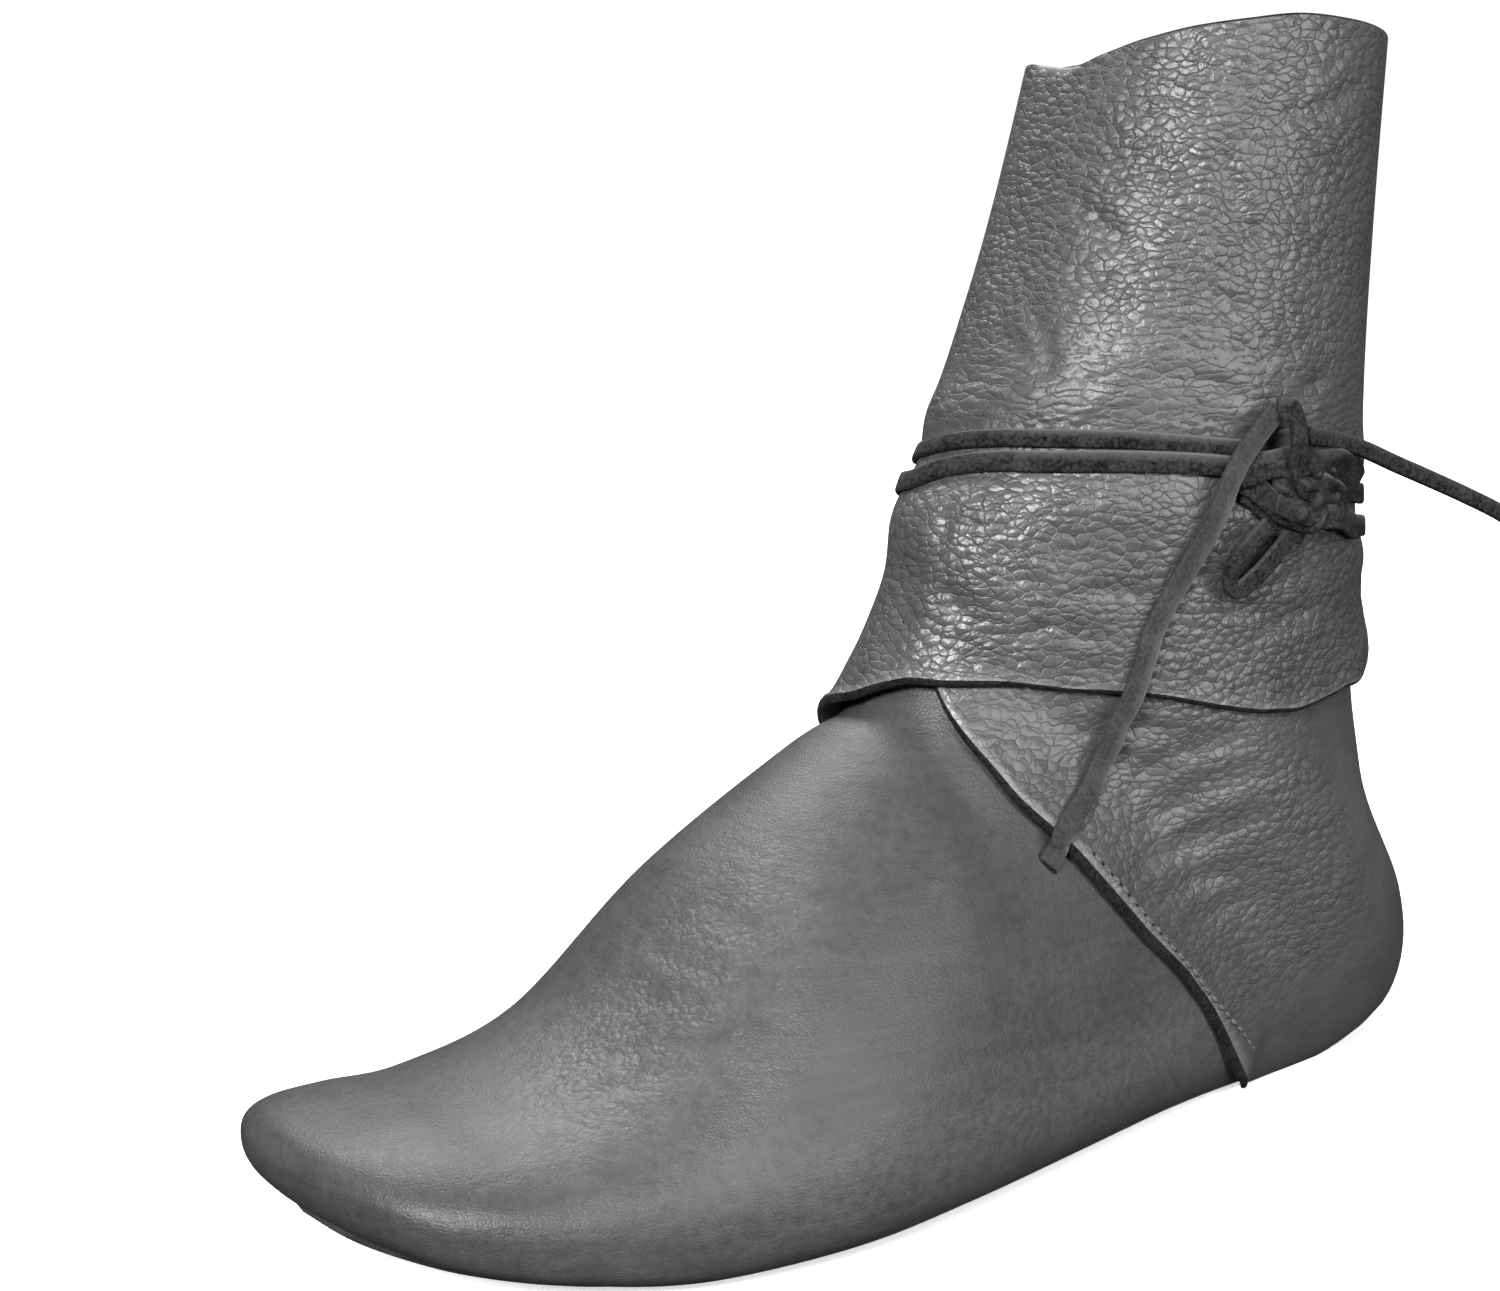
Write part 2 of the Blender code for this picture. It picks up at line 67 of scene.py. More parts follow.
# How finely the pieces are made.
OUTLINE_POINTS = 400     # round the sole's outline, where the upper is cut to it
SOLE_POINTS = 240        # round the sole itself
LEG_GRID = (330, 136)    # round the leg and up it
VAMP_GRID = (150, 226)   # along the foot and round it
THONG_SIDES = 16         # round the thong's section
ROW_STEP, TURN_STEP = 0.02, 2.0     # steps on the last from which its direction is taken

# Round the ankle: how far the windings draw the leather in and over what height, and how much it swells
# beside them, how far away and over what height.
PINCH, PINCH_REACH = 1.7, 6.5
PUFF, PUFF_AWAY, PUFF_REACH = 0.6, 11.5, 5.0

UPRIGHT = (0.0, 0.0, 1.0)

# The photograph's camera, in the last's frame.
CAMERA_AZIMUTH = 55.4
CAMERA_ELEVATION = 11.4
CAMERA_ROLL = -0.81
CAMERA_DISTANCE = 435.0
CAMERA_TARGET = np.array((48.0, -78.8, 126.8))
CAMERA_LENS, CAMERA_SENSOR, CAMERA_NEAR = 57.6, 36.0, 0.02

# Lights: place from the boot's middle along the camera's right, up and back (m), size (m), watts.
LIGHT_ROWS = (
    ("key light", -0.54, 0.44, 1.27, 0.34, 29.0),
    ("front light", 0.64, 0.66, 1.10, 0.40, 7.0),
    ("sheen light", -0.42, 1.14, -0.48, 0.60, 12.0),
    ("right light", 1.05, 0.02, 0.85, 0.70, 9.0),
    ("back light", 0.25, 1.35, -0.80, 0.80, 8.0),
)
SKY_ABOVE, SKY_BELOW = 0.16, 0.06           # strength of the surround above and below the horizon
HORIZON = (-0.3, 0.4)                       # heights between which the surround changes
SEEN_WHITE = 1.05                           # strength of the white that the camera sees
FLOOR_GLOW = 0.60                           # the floor's own glow beside the boot; it is white further off
GLOW_REACH = (180.0, 420.0)                 # distances (mm) between which that glow rises
FLOOR_HALF = 6.0                            # half the floor's width (m)
LIGHT_AIM = np.array((0.01, 0.0, 0.11))     # middle of the boot (m)

# Sections of the last, from the toe over the instep and the heel up the leg.
LAST_COLUMNS = ("back_y", "back_z", "front_y", "front_z", "inner", "outer", "ridge",
                "wide", "low_n", "up_n")
LAST_ROWS = (
    (-149.6, 20.5, -149.6, 20.5, -21.5, -21.5, -21.5, 0.50, 2.2, 2.2),
    (-148.0, 16.0, -148.0, 24.2, -34.0, -9.5, -21.5, 0.50, 2.4, 2.2),
    (-144.0, 12.6, -144.0, 27.0, -44.0, 3.5, -20.4, 0.48, 2.8, 2.3),
    (-137.0, 9.4, -137.0, 28.2, -49.4, 17.6, -17.8, 0.45, 3.3, 2.4),
    (-126.0, 5.4, -126.0, 29.3, -51.8, 27.8, -13.0, 0.42, 3.9, 2.4),
    (-109.0, 1.9, -109.0, 31.0, -51.4, 37.6, -8.0, 0.38, 4.0, 2.3),
    (-84.0, -0.3, -84.0, 41.8, -48.5, 47.3, -4.0, 0.33, 4.2, 2.2),
    (-54.0, -0.5, -54.0, 69.3, -47.3, 53.0, -5.5, 0.28, 4.2, 2.1),
    (-24.0, -0.5, -21.7, 90.7, -43.2, 50.6, -5.0, 0.24, 4.2, 2.0),
    (16.0, 0.0, -11.4, 96.8, -37.5, 44.2, -3.5, 0.25, 4.2, 2.0),
    (56.0, 1.4, -6.2, 106.2, -34.6, 38.0, -3.0, 0.30, 4.0, 2.0),
    (95.0, 3.2, -2.6, 115.6, -34.4, 33.8, -2.0, 0.35, 3.6, 2.0),
    (128.4, 8.8, -0.2, 124.8, -34.1, 36.8, 0.0, 0.40, 3.0, 2.0),
    (135.6, 28.0, 1.4, 133.8, -33.5, 37.5, 1.0, 0.45, 2.4, 2.0),
    (120.2, 61.0, 5.5, 143.1, -34.8, 36.5, 0.0, 0.50, 2.1, 2.0),
    (115.4, 104.0, 12.8, 153.0, -35.8, 38.0, 0.5, 0.50, 2.1, 2.1),
    (110.8, 154.0, 23.8, 176.0, -35.8, 38.5, 1.0, 0.50, 2.1, 2.1),
    (110.7, 196.0, 34.5, 203.0, -34.9, 38.0, 1.0, 0.50, 2.1, 2.1),
    (112.9, 247.0, 48.6, 247.0, -34.3, 37.0, 1.0, 0.50, 2.1, 2.1),
)

# The leg leather, one sheet wound once and a half round the leg: turn in degrees (180 front, 90 outer
# side, 0 back, -90 inner side, -180 front again), lower and upper edge as places along the last's rows,
# and the count of leathers.
WRAP = table("turn low top layer",
    (195.0, 13.0, 17.50, 1.12), (180.0, 11.6, 17.52, 1.12), (158.0, 9.84, 17.60, 1.12),
    (137.0, 9.57, 17.68, 1.12), (120.0, 9.80, 17.74, 1.12), (101.0, 10.03, 17.78, 1.06),
    (87.0, 10.26, 17.78, 1.0), (65.0, 10.42, 17.78, 1.0), (35.0, 10.48, 17.80, 1.0),
    (0.0, 10.50, 17.84, 1.0), (-35.0, 10.48, 17.84, 1.0), (-65.0, 10.42, 17.80, 1.0),
    (-87.0, 10.30, 17.74, 1.0), (-105.0, 10.05, 17.70, 1.0), (-122.0, 9.70, 17.67, 1.0),
    (-140.0, 9.25, 17.66, 1.15), (-158.0, 8.76, 17.66, 2.14), (-172.0, 8.62, 17.64, 2.14),
    (-182.0, 9.22, 17.63, 2.14), (-192.0, 9.70, 17.68, 2.14), (-204.0, 10.21, 17.74, 2.14),
    (-220.0, 11.38, 17.80, 2.14), (-237.0, 12.48, 17.84, 2.14), (-254.0, 13.16, 17.87, 2.14),
    (-273.0, 13.72, 17.86, 2.14), (-298.0, 14.33, 17.83, 2.14), (-314.0, 14.58, 17.80, 2.14),
    (-322.5, 15.10, 17.78, 2.14))
QUARTER_LAYER, FLAP_LAYER = WRAP["layer"][[0, -1]]
# How far the sheet's lower cut slants back from its inner to its outer face.
BEVEL = table("turn bevel",
    (195.0, 0.6), (135.0, 0.6), (118.0, 1.6), (75.0, 1.6), (50.0, 0.0), (-50.0, 0.0),
    (-75.0, 1.1), (-140.0, 1.0), (-322.5, 1.0))

# The vamp's hidden back edge: turn away from the sole's middle, place along the last's rows.
VAMP = table("turn back",
    (0.0, 10.75), (60.0, 10.72), (87.0, 10.65), (101.0, 10.50),
    (120.0, 10.25), (137.0, 10.25), (158.0, 10.75), (180.0, 11.50))

# The sole's outline: place along the foot, inner edge, outer edge.
SOLE = table("y inner outer",
    (-141.5, -24.0, -19.0), (-138.5, -36.0, -4.0), (-131.0, -42.0, 8.0), (-119.5, -44.3, 19.0),
    (-104.0, -44.0, 28.5), (-84.0, -41.5, 36.0), (-54.0, -38.0, 40.0), (-24.0, -34.0, 37.5),
    (10.0, -29.5, 32.5), (45.0, -27.0, 28.0), (80.0, -26.0, 26.0), (103.0, -23.5, 24.5),
    (117.0, -16.5, 17.5), (123.0, -3.0, 4.0))
# The sole's underside leaves the floor at the toe: place along the foot, height.
SPRING = table("y height",
    (-150.0, 11.0), (-140.0, 7.6), (-126.0, 3.9), (-109.0, 1.2), (-96.0, 0.0),
    (-80.0, 0.0), (130.0, 0.0))

# The thong's two rounds of the ankle: turn, height above the floor.
WINDING = table("turn height",
    (75.0, 134.0), (45.0, 129.0), (0.0, 126.5), (-60.0, 129.5), (-110.0, 135.0), (-154.0, 140.3),
    (-172.0, 142.7), (-188.7, 146.4), (-200.0, 148.4), (-228.7, 149.6), (-255.3, 147.8), (-288.0, 141.5),
    (-315.0, 136.5), (-360.0, 133.7), (-420.0, 136.6), (-470.0, 141.5), (-514.0, 146.6),
    (-530.0, 149.0), (-544.0, 151.6), (-557.0, 153.2), (-587.7, 154.0), (-622.5, 151.2))
# Height at which both rounds together draw the leg leather in.
WAIST = table("turn height",
    (0.0, 130.1), (-60.0, 133.2), (-110.0, 138.5), (-154.0, 144.0), (-180.0, 147.2),
    (-200.0, 150.6), (-230.0, 151.6), (-255.0, 149.6), (-285.0, 142.5), (-315.0, 133.5),
    (-360.0, 130.1))
# The strand from its slit in the vamp up to the knot: turn, height, rest above the leather
# (-1 on the vamp, 0 on the quarter, 1 on the flap, 2 across the windings).
STRAND_ROWS = (
    (121.7, 66.6, -1.0), (122.4, 69.2, -0.5), (123.6, 72.0, 0.05), (124.1, 79.0, 0.1),
    (126.0, 89.2, 0.75), (127.5, 97.2, 1.08), (123.6, 110.6, 1.05), (116.0, 120.6, 1.05),
    (110.8, 133.5, 1.35), (109.0, 141.8, 2.05), (106.3, 147.9, 2.05), (102.4, 154.9, 2.05),
    (99.3, 159.7, 2.05),
)
KNOT_ROUTE = ((46.9, 57.6, 160.0), (47.7, 60.2, 159.8), (48.0, 61.8, 157.0), (48.1, 62.6, 152.0),
              (47.6, 63.0, 147.0), (46.6, 66.2, 142.8), (45.4, 72.5, 141.4), (44.2, 78.5, 140.6),
              (43.6, 81.3, 138.2), (44.2, 78.3, 135.9), (45.2, 72.0, 135.9), (45.8, 65.0, 137.6),
              (46.0, 58.5, 140.2))
LOOP_ROUTE = ((45.8, 63.2, 132.6), (45.2, 59.6, 128.8), (44.5, 55.0, 124.8), (43.6, 50.2, 122.0),
              (43.4, 47.6, 124.4), (44.3, 49.6, 128.6), (45.1, 53.2, 132.6), (45.8, 56.6, 135.6))
END_ROUTE = ((45.8, 67.6, 153.6), (45.5, 76.5, 151.9), (43.6, 88.0, 148.8), (43.8, 98.0, 144.9),
             (45.0, 108.5, 140.7), (46.5, 120.0, 135.9), (48.0, 130.5, 131.0), (49.2, 139.5, 125.0),
             (50.0, 147.0, 117.0), (50.5, 152.5, 107.0), (50.8, 156.0, 95.0), (51.0, 158.0, 82.0),
             (51.0, 158.8, 68.0), (51.0, 159.0, 54.0))
# Turns of thong that are crumpled together beneath the knot: route, width, thickness, twist in degrees.
KNOT_FOLDS = (
    (((43.4, 50.5, 147.2), (45.2, 56.7, 148.2), (46.3, 62.0, 148.6), (46.6, 68.4, 148.6),
      (45.6, 76.2, 147.4), (42.4, 85.2, 145.0), (38.6, 92.6, 140.8)), 6.8, 1.4, 34.0),
    (((42.9, 50.4, 146.4), (44.3, 53.8, 143.9), (45.6, 57.6, 140.6), (46.2, 62.1, 137.8),
      (46.0, 68.0, 136.2), (44.9, 76.2, 135.4), (42.6, 84.8, 133.0), (38.8, 92.6, 130.6)),
     5.6, 1.4, -30.0),
    (((43.6, 60.2, 139.5), (45.4, 61.8, 142.9), (46.4, 66.3, 144.4), (46.2, 73.4, 142.4),
      (44.6, 79.4, 138.6), (43.2, 78.3, 135.6)), 5.6, 1.3, 48.0),
    (((42.6, 52.8, 142.6), (43.6, 58.4, 138.2), (44.3, 64.6, 134.6), (43.8, 70.4, 131.9)),
     5.0, 1.4, 22.0),
    (((44.4, 60.2, 134.2), (43.9, 56.6, 130.6), (43.3, 53.0, 127.4), (42.9, 49.8, 124.9)),
     4.6, 1.2, 16.0),
)
# The bunched thong at the knot's heart: its middle, and how far it reaches out, along and up.
KNOT_HEART = (45.3, 70.0, 141.0)
KNOT_REACH = (2.6, 13.5, 8.2)

# Soft swellings of the leg leather: turn, height, lift, reach round the leg in degrees, reach in height.
SWELL_ROWS = (
    (35.0, 72.0, 2.0, 30.0, 16.0),
    (-318.0, 99.0, 1.8, 16.0, 9.0),
    (-325.0, 112.0, -0.8, 30.0, 8.0),
    (30.0, 112.0, -0.8, 30.0, 8.0),
)

# Creases pressed into the leathers: a line of (place, turn) on the last, its depth and its half width.
LEG_CREASES = (
    # the short scar on the shaft
    (((17.30, 124.5), (17.04, 116.5), (16.80, 108.5)), 0.50, 1.3),
    # leg above the thong
    (((16.99, 160.7), (16.84, 151.7), (16.70, 144.0), (16.67, 140.7)), 0.55, 2.0),
    (((16.99, 165.7), (16.83, 156.0), (16.63, 147.0)), 0.45, 1.8),
    (((17.28, 124.0), (17.11, 119.0), (16.97, 116.7), (16.81, 108.0)), 0.60, 2.0),
    (((16.56, 129.0), (16.47, 120.0), (16.37, 111.7)), 0.50, 2.2),
    (((17.21, 171.7), (17.21, 153.3), (17.25, 137.3)), 0.35, 1.8),
    (((15.62, 150.3), (15.81, 131.3), (15.84, 109.0)), 0.55, 2.0),
    (((15.51, 149.3), (15.71, 130.3), (15.75, 108.3)), 0.55, 1.8),
    (((15.37, 147.7), (15.60, 129.3), (15.66, 105.7)), 0.50, 1.8),
    (((15.90, 121.7), (15.87, 112.7), (15.80, 104.3)), 0.60, 2.0),
    (((15.96, 87.7), (16.11, 78.0)), 0.60, 2.4),
    (((16.21, 170.3), (15.92, 161.7), (15.62, 156.7)), 0.45, 2.2),
    (((15.94, 177.7), (15.74, 164.0)), 0.40, 2.0),
    (((17.57, 146.3), (17.49, 136.3), (17.52, 129.0)), 0.35, 1.8),
    (((17.43, 104.7), (17.51, 91.0), (17.62, 76.0)), 0.45, 2.2),
    # flap below the thong
    (((13.65, 169.3), (12.76, 170.7)), 0.60, 1.8),
    (((13.84, 163.0), (13.01, 163.3)), 0.60, 1.8),
    (((14.08, 157.0), (13.42, 155.7)), 0.55, 1.8),
    (((13.29, 159.0), (13.01, 153.0), (12.92, 145.7)), 0.60, 2.2),
    (((11.97, 170.0), (11.79, 160.7), (11.82, 154.3)), 0.55, 2.4),
    (((13.01, 141.7), (13.69, 129.7), (13.98, 117.7)), 0.45, 2.0),
    (((11.76, 150.0), (12.56, 141.3), (12.90, 131.3)), 0.45, 2.2),
    (((14.20, 94.7), (14.58, 84.3), (14.88, 71.0)), 0.50, 2.6),
    (((14.38, 103.3), (14.49, 92.7), (14.70, 81.7)), 0.45, 2.2),
    (((9.92, 177.3), (11.39, 176.7), (12.44, 175.7)), 0.50, 2.4),
    (((14.55, 114.3), (14.55, 105.3), (14.49, 98.3)), 0.40, 2.0),
)
QUARTER_CREASES = (
    (((11.11, 118.3), (11.99, 115.7), (12.94, 103.7)), 0.50, 2.4),
    (((10.80, 113.0), (11.82, 110.3), (12.70, 100.0)), 0.55, 2.6),
    (((10.80, 106.7), (11.62, 104.0), (12.25, 97.7)), 0.55, 2.6),
    (((10.28, 104.0), (11.01, 100.3), (11.46, 97.0)), 0.45, 2.4),
    (((10.24, 109.3), (10.89, 107.7), (11.39, 105.7)), 0.40, 2.2),
    (((10.52, 96.0), (11.11, 93.7), (11.53, 90.7)), 0.40, 2.4),
    (((10.91, 132.7), (11.75, 126.0), (12.26, 116.3)), 0.45, 2.2),
    (((10.32, 131.3), (11.10, 125.0), (11.60, 118.7)), 0.45, 2.2),
    (((13.42, 88.3), (13.79, 67.3), (14.00, 50.0)), 0.45, 3.0),
)
VAMP_CREASES = (
    (((5.38, 170.0), (5.79, 166.0), (6.09, 159.3)), 0.35, 2.4),
    (((5.32, 157.0), (5.75, 154.3), (6.10, 145.7)), 0.35, 2.4),
    (((6.04, 181.3), (6.20, 173.3), (6.32, 158.0)), 0.40, 2.2),
    (((6.50, 182.3), (6.51, 167.3), (6.57, 154.3)), 0.35, 2.2),
    (((6.27, 180.0), (6.34, 168.0), (6.42, 155.0)), 0.35, 2.0),
    (((6.80, 173.0), (6.83, 156.3), (6.95, 143.7)), 0.35, 2.6),
    (((7.64, 164.0), (7.53, 150.7), (7.43, 140.7)), 0.35, 2.8),
    (((9.26, 162.3), (8.96, 144.3), (9.15, 132.7)), 0.12, 2.6),
    (((7.33, 113.0), (8.19, 106.0), (9.33, 98.3)), 0.14, 2.6),
    (((7.12, 109.3), (7.94, 101.7), (9.19, 92.7)), 0.16, 2.2),
    (((7.55, 97.0), (8.50, 91.3), (9.47, 83.3)), 0.14, 2.4),
    (((3.98, 123.3), (4.33, 130.3), (4.56, 132.3)), 0.10, 1.0),
)
# Where the vamp's skin is finely wrinkled, and lightened there by painted sheen: place, turn, reach,
# strength.
WRINKLE_ROWS = ((6.2, 166.0, 22.0, 1.0), (5.6, 157.0, 17.0, 0.7), (6.9, 160.0, 20.0, 0.7),
                (8.4, 99.0, 24.0, 0.22))

# Stitches behind the side seams: places and turns along each row.
OUTER_SEAM = ((10.02, 118.0), (10.06, 115.0), (10.10, 110.0), (10.17, 102.0), (10.26, 94.0), (10.35, 86.3),
              (10.44, 73.3), (10.50, 60.0))
INNER_SEAM = ((10.50, -60.0), (10.46, -74.0), (10.40, -87.0), (10.28, -97.0), (10.16, -106.0),
              (9.98, -114.0))
STITCH_PITCH = 3.2
STITCH_SIZE, HOLE_SIZE = (2.3, 1.1, 0.9), (1.1, 1.1, 0.5)   # along the seam, across it and upward
SEAM_LAYER = 1.03        # count of leathers at the seams
SEAM_LIFT = 0.30         # height of the stitches' middle above the leather
SEAM_STEP = 0.8          # between points of the line that they follow

# The windings: size of the thong, how far it is pressed in, and how much narrower and deeper the second
# round is, which begins over these turns.
WINDING_WIDE, WINDING_THICK, WINDING_SUNK = 4.7, 2.0, 0.2
SECOND_NARROWER, SECOND_SUNK, SECOND_STARTS = 0.8, 0.5, (380.0, 480.0)
WINDING_STEP = 1.25      # degrees between its points
# The strand: size, depth of its lower end in the slit, play above what it lies on, and how much of the
# windings' pinch it follows.
STRAND_WIDE, STRAND_THICK = THONG_WIDE - 0.2, 1.6
STRAND_SUNK, STRAND_PLAY, STRAND_PINCH = 0.6, 0.1, 0.7
# Power that rounds the thong's section; less is squarer.
WINDING_EDGE, THONG_EDGE, THONG_FACE = 0.4, 0.35, 0.45
# Widths and thicknesses of the free end, the loop and the knot.
END_WIDE, LOOP_WIDE, KNOT_WIDE = 3.8, 4.2, 5.2
END_THICK, LOOP_THICK, KNOT_THICK = 1.8, 1.5, 1.5


def smooth_rows(rows, place, first_before=None):
    """Values at places along some rows, on a smooth curve through every row."""
    count = len(rows)
    place = np.clip(np.asarray(place, float), 0.0, count - 1.0)
    start = np.minimum(place.astype(int), count - 2)
    part = (place - start)[..., None]
    here, after = rows[start], rows[start + 1]
    before_first = 2 * rows[0] - rows[1] if first_before is None else first_before
    after_last = 2 * rows[-1] - rows[-2]
    padded = np.concatenate([before_first[None], rows, after_last[None]])
    before, beyond = padded[start], padded[start + 3]
    return 0.5 * (2 * here + (after - before) * part
                  + (2 * before - 5 * here + 4 * after - beyond) * part ** 2
                  + (3 * here - before - 3 * after + beyond) * part ** 3)


LAST_TABLE = np.array(LAST_ROWS, float)
# Ahead of the tip the sections are mirrored, so the toe ends round and not in a point.
TOE_MIRROR = 2 * LAST_TABLE[0] - LAST_TABLE[1]
for name in ("back_y", "front_y"):
    TOE_MIRROR[LAST_COLUMNS.index(name)] = LAST_TABLE[1][LAST_COLUMNS.index(name)]


def signed_power(value, power):
    """A power that keeps the sign."""
    return np.sign(value) * np.abs(value) ** power


def unit(way):
    """Directions, one unit long."""
    return way / np.linalg.norm(way, axis=-1, keepdims=True)


def hump(value, middle, reach):
    """1 at the middle, fading to 0 beyond the reach on both sides."""
    return np.exp(-((value - middle) / reach) ** 2)


def run_along(line):
    """Lengths along a line, from 0 at its first point."""
    return np.concatenate([[0], np.cumsum(np.linalg.norm(np.diff(line, axis=0), axis=1))])


def line_at(spots, run, line):
    """Points of a line at some lengths along it."""
    return np.stack([np.interp(spots, run, values) for values in line.T], -1)


def last_point(place, turn):
    """A point of the last: place along the rows, turn in degrees round the section."""
    row = smooth_rows(LAST_TABLE, place, TOE_MIRROR)
    back_y, back_z, front_y, front_z, inner, outer, ridge, wide, low_n, up_n = np.moveaxis(row, -1, 0)
    angle = np.radians(turn)
    across, along = np.sin(angle), -np.cos(angle)
    power = 2.0 / np.where(along >= 0, up_n, low_n)
    across, along = signed_power(across, power), signed_power(along, power)
    height = np.where(along >= 0, wide + (1 - wide) * along, wide + wide * along)
    middle, half = (inner + outer) / 2, (outer - inner) / 2
    x = middle + half * across + (ridge - middle) * np.clip(along, 0, 1) ** 1.5
    return np.stack([x, back_y + (front_y - back_y) * height, back_z + (front_z - back_z) * height], -1)


def last_normal(place, turn):
    """The outward direction of the last."""
    place = np.clip(place, 2 * ROW_STEP, len(LAST_ROWS) - 1 - ROW_STEP)
    along = last_point(place + ROW_STEP, turn) - last_point(place - ROW_STEP, turn)
    around = last_point(place, turn + TURN_STEP) - last_point(place, turn - TURN_STEP)
    return unit(np.cross(along, around))


def skin(place, turn, lift):
    """The last's surface, lifted outward."""
    return last_point(place, turn) + last_normal(place, turn) * np.asarray(lift)[..., None]


def layer_lift(layer):
    """How far the inner face of a leather stands off the last, with layer - 1 leathers beneath it."""
    return GAP + (layer - 1.0) * (LEATHER + GAP)


def read_along(keys, values, spot):
    """Values at a spot along rising keys, on a smooth curve through the rows."""
    place = np.interp(spot, keys, np.arange(len(keys)))
    return smooth_rows(values[:, None], place)[..., 0]


def table_at(columns, turn, name):
    """A column of a table read along the turn, which falls from row to row."""
    return read_along(-columns["turn"], columns[name], -np.asarray(turn, float))


def sole_outline(grow, count):
    """The sole's outline in plan, grown outward by grow."""
    outer, inner = (np.column_stack([SOLE[side], SOLE["y"]]) for side in ("outer", "inner"))
    loop = np.concatenate([outer, inner[::-1]])
    size = len(loop)
    padded = np.concatenate([loop[-3:], loop, loop[:4]])
    fine = smooth_rows(padded, 3 + np.linspace(0, size, 40 * size, endpoint=False))
    closed = np.concatenate([fine, fine[:1]])
    run = run_along(closed)
    even = line_at(np.linspace(0, run[-1], count, endpoint=False), run, closed)
    way = unit(np.roll(even, -1, axis=0) - np.roll(even, 1, axis=0))
    return even + grow * np.stack([way[:, 1], -way[:, 0]], -1)


def spring(y):
    """Height of the sole's underside along the foot."""
    return np.maximum(read_along(SPRING["y"], SPRING["height"], y), 0.0)


def leg_place(turn, height):
    """Place along the rows of the last at a turn and a height on the leg."""
    places = np.linspace(9.0, len(LAST_ROWS) - 1.0, 400)
    return np.array([np.interp(h, last_point(places, t)[:, 2], places) for t, h in zip(turn, height)])


def outer_face(turn):
    """Lift of the boot's outermost leather face on the leg at any turn."""
    first, last = WRAP["turn"][[0, -1]]
    once = (np.asarray(turn, float) - first) % 360.0 + first - 360.0
    beneath = table_at(WRAP, once, "layer")
    flap = 1.0 + (FLAP_LAYER - 1.0) * np.clip((once - (last + 360.0)) / FLAP_END_SLOPE + 1.0, 0, 1)
    return layer_lift(np.maximum(beneath, flap)) + LEATHER


def waist_height(turn):
    """Height of the middle of the windings at any turn."""
    once = -((-np.asarray(turn, float)) % 360.0)
    return table_at(WAIST, once, "height")


def waist_pinch(turn, height):
    """How far the windings draw the leg leather in; it swells a little above and below them."""
    away = np.abs(height - waist_height(turn))
    return PINCH * hump(away, 0.0, PINCH_REACH) - PUFF * hump(away, PUFF_AWAY, PUFF_REACH)


def swelling(turn, height):
    """Soft swellings of the leg leather."""
    lift = np.zeros(np.shape(turn))
    for middle, level, size, wide, tall in SWELL_ROWS:
        lift = lift + size * np.exp(-((turn - middle) / wide) ** 2 - ((height - level) / tall) ** 2)
    return lift


def even_curve(points, step):
    """A smooth curve through a few points, as points about step apart."""
    points = np.array(points, float)
    fine = smooth_rows(points, np.linspace(0, len(points) - 1, 60 * len(points)))
    run = run_along(fine)
    return line_at(np.linspace(0, run[-1], int(round(run[-1] / step)) + 1), run, fine)


def soft_step(value, start, end):
    """0 before start, 1 after end, smooth between."""
    part = np.clip((np.asarray(value, float) - start) / (end - start), 0, 1)
    return part * part * (3 - 2 * part)


def crease_relief(points, creases):
    """Depth pressed into a surface by soft troughs along crease lines, each fading at its ends."""
    relief = np.zeros(points.shape[:-1])
    for line, depth, wide in creases:
        path = even_curve([last_point(p, t) for p, t in line], 2.0)
        low, high = path.min(axis=0) - 4 * wide - 6, path.max(axis=0) + 4 * wide + 6
        near = np.all((points > low) & (points < high), axis=-1)
        if not near.any():
            continue
        gap = np.linalg.norm(points[near][:, None] - path[None], axis=-1)
        nearest = gap.argmin(axis=1)
        fade = np.sin(np.pi * np.linspace(0.04, 0.96, len(path))) ** 0.6
        ratio = gap.min(axis=1) / wide
        # a trough with a low ridge on both sides
        trough = 1.25 * hump(ratio, 0.0, 1.0) - 0.25 * hump(ratio, 0.0, 2.2)
        relief[near] -= depth * fade[nearest] * trough
    return relief


def settled(points, edge_height, weight, clear=FLOOR_CLEAR):
    """Points of the upper, its lower edge let down to the floor as soft leather does."""
    drop = np.maximum(edge_height - clear, 0.0) * weight
    sunk = points.copy()
    sunk[..., 2] -= drop * (1 - soft_step(points[..., 2] - edge_height, 0.0, SETTLE_REACH))
    return sunk


def grid_faces(rows, columns, start=0):
    """Quads between the points of a grid that is stored row by row."""
    index = start + np.arange(rows * columns).reshape(rows, columns)
    quads = np.stack([index[:-1, :-1], index[1:, :-1], index[1:, 1:], index[:-1, 1:]], -1)
    return quads.reshape(-1, 4)


def tube_faces(rows, columns):
    """Quads between closed rings of points that are stored ring by ring, and the points' numbers."""
    index = np.arange(rows * columns).reshape(rows, columns)
    beside = np.roll(index, -1, axis=1)
    quads = np.stack([index[:-1], beside[:-1], beside[1:], index[1:]], -1)
    return quads.reshape(-1, 4).tolist(), index


def capped_tube(rows, columns):
    """Faces of a tube of rings that is closed at both ends."""
    faces, index = tube_faces(rows, columns)
    return faces + [index[0][::-1].tolist(), index[-1].tolist()]


def add_object(name, data):
    made = bpy.data.objects.new(name, data)
    bpy.context.scene.collection.objects.link(made)
    return made


